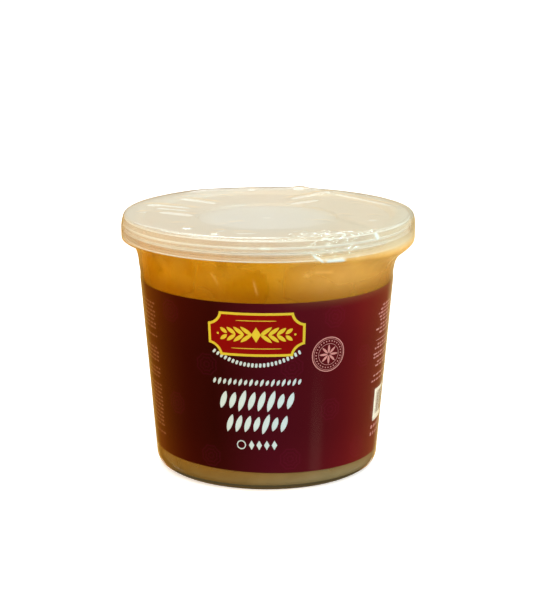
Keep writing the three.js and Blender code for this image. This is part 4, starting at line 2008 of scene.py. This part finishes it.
@dataclass(frozen=True)
class Room:
    """The room round the tub.

    Soft colours light the tub; polished surfaces mirror a sharper room instead. Places are
    shares of a view's way: up, back or to the right.
    """

    left_air: Colour = (1.0, 0.66, 0.30)
    right_air: Colour = (1.0, 0.86, 0.68)
    ceiling: Colour = (0.94, 0.95, 0.95)
    left_ground: Colour = (0.30, 0.15, 0.04)
    right_ground: Colour = (0.30, 0.21, 0.12)
    behind: tuple[Colour, Colour] = ((0.86, 0.43, 0.06), (1.0, 0.64, 0.24))
    beside: tuple[Colour, Colour] = ((0.62, 0.20, 0.008), (0.60, 0.21, 0.05))
    table: Colour = (0.015, 0.006, 0.001)
    low_table: Colour = (0.09, 0.065, 0.03)
    low_zone: Point = (-0.62, -0.40)
    stripe: Colour = (0.75, 0.45, 0.34)
    stripe_turn: tuple[Point, Point] = ((42, 50), (54, 63))
    stripe_end: Point = (-0.45, -0.40)
    low_wall: Colour = (1.05, 0.84, 0.58)
    wall: Colour = (0.80, 0.76, 0.68)
    back_pane: Pane = Pane((0.36, 0.42), (0.56, 0.62), (1.7, 2.0, 2.2))
    high_pane: Pane = Pane((0.64, 0.70), (0.88, 0.94), (4.2, 5.9, 6.7))
    front_pane: Pane = Pane((0.45, 0.52), (0.70, 0.77), (4.5, 6.0, 6.6))
    gap: Point = (0.0, 0.40)
    gap_zone: Point = (0.78, 0.84)
    skylight: Colour = (24.0, 42.0, 50.0)
    skylight_across: Point = (0.50, 0.18)
    skylight_along: Point = (0.0, 0.22)
    skylight_zone: Point = (0.70, 0.76)
    strength: float = 0.85

    def _light(self, graph: Graph, right: Wire, up: Wire) -> Wire:
        """Soft colours: pale above, brown below, orange at the left and whiter at the right."""
        across = right * 0.5 + 0.5
        side = graph.mix(across, self.left_air, self.right_air)
        above = graph.mix(up.rise(-0.05, 0.35), side, self.ceiling)
        below = graph.mix(across, self.left_ground, self.right_ground)
        return graph.mix(up.rise(-0.15, 0.1), below, above)

    def _below(self, graph: Graph, right: Wire, back: Wire, up: Wire) -> Wire:
        """What is mirrored below: a table, dark in front and amber behind, with a pale stripe."""
        sides = right.rise(-0.3, 0.3)
        far = graph.mix(
            back.rise(0.76, 0.93), graph.mix(sides, *self.beside), graph.mix(sides, *self.behind)
        )
        near = graph.mix(back.rise(-0.2, 0.7), self.table, far)
        turn = right.sum("ARCTAN2", right, back * -1) * math.degrees(1)
        stripe = turn.within(*self.stripe_turn) * (1 - up.rise(*self.stripe_end))
        striped = graph.mix(stripe, near, self.stripe)
        return graph.mix(up.rise(*self.low_zone), self.low_table, striped)

    def _above(self, graph: Graph, right: Wire, back: Wire, up: Wire) -> Wire:
        """What is mirrored above: a pale wall with three panes and a skylight."""
        wall = graph.mix(up.rise(0.0, 0.2), self.low_wall, self.wall)
        gap = right.stripe(*self.gap) * up.rise(*self.gap_zone)
        shares = (back.rise(0.0, 0.25), 1 - gap, 1 - back.rise(-0.4, -0.2))
        for pane, share in zip((self.back_pane, self.high_pane, self.front_pane), shares):
            wall = graph.mix(up.within(pane.bottom, pane.top) * share, wall, pane.colour)
        skylight = right.stripe(*self.skylight_across) * back.stripe(*self.skylight_along)
        return graph.mix(skylight * up.rise(*self.skylight_zone), wall, self.skylight)

    def build(self) -> None:
        """Adds the room as the scene's world."""
        world = bpy.data.worlds.new("room")
        bpy.context.scene.world = world
        world.use_nodes = True
        graph = Graph(world.node_tree)
        right, back, up = graph.split(graph.node("ShaderNodeTexCoord", output="Generated"))
        below = self._below(graph, right, back, up)
        above = self._above(graph, right, back, up)
        mirrored = graph.mix(up.rise(-0.12, 0.05), below, above)
        is_mirror = graph.node("ShaderNodeLightPath", output="Is Glossy Ray")
        seen = graph.mix(is_mirror, self._light(graph, right, up), mirrored)
        sockets = {"Color": seen, "Strength": self.strength}
        background = graph.node("ShaderNodeBackground", sockets=sockets)
        graph.node("ShaderNodeOutputWorld", sockets={"Surface": background})


@dataclass
class Studio:
    """Pale floor, soft light and the camera."""

    lens: float = 109.2
    camera_place: tuple[float, float, float] = (-0.00013, -0.7250, 0.2380)
    camera_pitch: float = math.radians(90 - 13.24)
    aim: tuple[float, float, float] = (0.0, 0.0, 0.05)
    floor_colour: Colour = (0.90, 0.91, 0.93)
    sun_strength: float = 0.3
    sun_colour: Colour = (1.0, 0.96, 0.90)
    lamps: tuple[Lamp, ...] = (
        Lamp("front_lamp", (-0.05, -1.30, 0.38), 0.8, 0.6, 4.2, (1.0, 0.94, 0.86), False),
        Lamp("front_strip", (0.10, -1.05, 0.85), 1.3, 0.08, 2.2, (0.82, 0.96, 1.0), True),
        Lamp("left_lamp", (-0.80, -0.45, 0.30), 0.5, 0.5, 8.8, (1.0, 0.69, 0.36), False),
        Lamp("right_lamp", (0.85, -0.40, 0.35), 0.5, 0.5, 6.8, (1.0, 0.92, 0.79), False),
        Lamp("back_lamp", (0.10, 0.90, 0.50), 0.6, 0.4, 3.0, (1.0, 0.90, 0.76), False),
        Lamp("ceiling_strip", (0.30, -0.42, 1.05), 0.5, 0.10, 1.6, (0.93, 0.98, 1.0), True),
        Lamp("back_window", (-0.10, 0.85, 0.75), 0.22, 0.10, 0.5, (0.86, 0.96, 1.0), True),
    )

    def camera(self) -> None:
        """Adds the camera."""
        bpy.ops.object.camera_add(location=self.camera_place, rotation=(self.camera_pitch, 0, 0))
        camera = named("camera")
        camera.data.lens, camera.data.sensor_width = self.lens, 36.0
        camera.data.clip_start, camera.data.clip_end = 0.01, 50.0
        bpy.context.scene.camera = camera

    def floor(self) -> None:
        """Adds the floor, which polished surfaces don't mirror."""
        pick()
        bpy.ops.mesh.primitive_plane_add(size=30)
        floor = named("floor")
        material, graph = new_material("floor_paper")
        grain = graph.cloud(60 * MM)
        darker = tuple(0.985 * part for part in self.floor_colour)
        graph.plastic(
            Base_Color=graph.mix(grain, self.floor_colour, darker),
            Roughness=0.9,
            Specular_IOR_Level=0.0,
            Emission_Color=self.floor_colour,
            Emission_Strength=0.35,
        )
        floor.data.materials.append(material)
        floor.visible_glossy = False
        floor.visible_diffuse = False

    def lights(self) -> None:
        """Adds the wide soft light from above and the lamps."""
        bpy.ops.object.light_add(type="SUN", location=(0, 0, 1), rotation=(math.radians(12), 0, 0))
        sun = bpy.context.object
        sun.name = "overhead"
        sun.data.energy = self.sun_strength
        sun.data.angle = math.radians(60)
        sun.data.color = self.sun_colour
        for lamp in self.lamps:
            way = Vector(self.aim) - Vector(lamp.place)
            turn = way.to_track_quat("-Z", "Y").to_euler()
            bpy.ops.object.light_add(type="AREA", location=lamp.place, rotation=turn)
            light = bpy.context.object
            light.name = lamp.name
            light.data.shape = "RECTANGLE"
            light.data.size, light.data.size_y = lamp.width, lamp.height
            light.data.energy = lamp.power
            light.data.color = lamp.colour
            light.visible_glossy = lamp.mirrored

    def look(self) -> None:
        """Keeps colours plain and lets light through every skin of the pack."""
        scene = bpy.context.scene
        scene.view_settings.view_transform = "Standard"
        scene.cycles.transparent_max_bounces = 24

    def build(self) -> None:
        """Sets up the studio."""
        self.camera()
        self.floor()
        self.lights()
        Room().build()
        self.look()


def main() -> None:
    """Builds the pack piece by piece, and the studio round it."""
    logging.basicConfig(level=logging.INFO, format="%(name)s: %(message)s")
    pack = Pack()
    Studio().build()
    Tub(pack).build()
    Lid(pack).build()
    Label(pack).build()
    JaggeryHeap(pack).build()
    Film(pack).build()


if __name__ == "__main__":
    main()
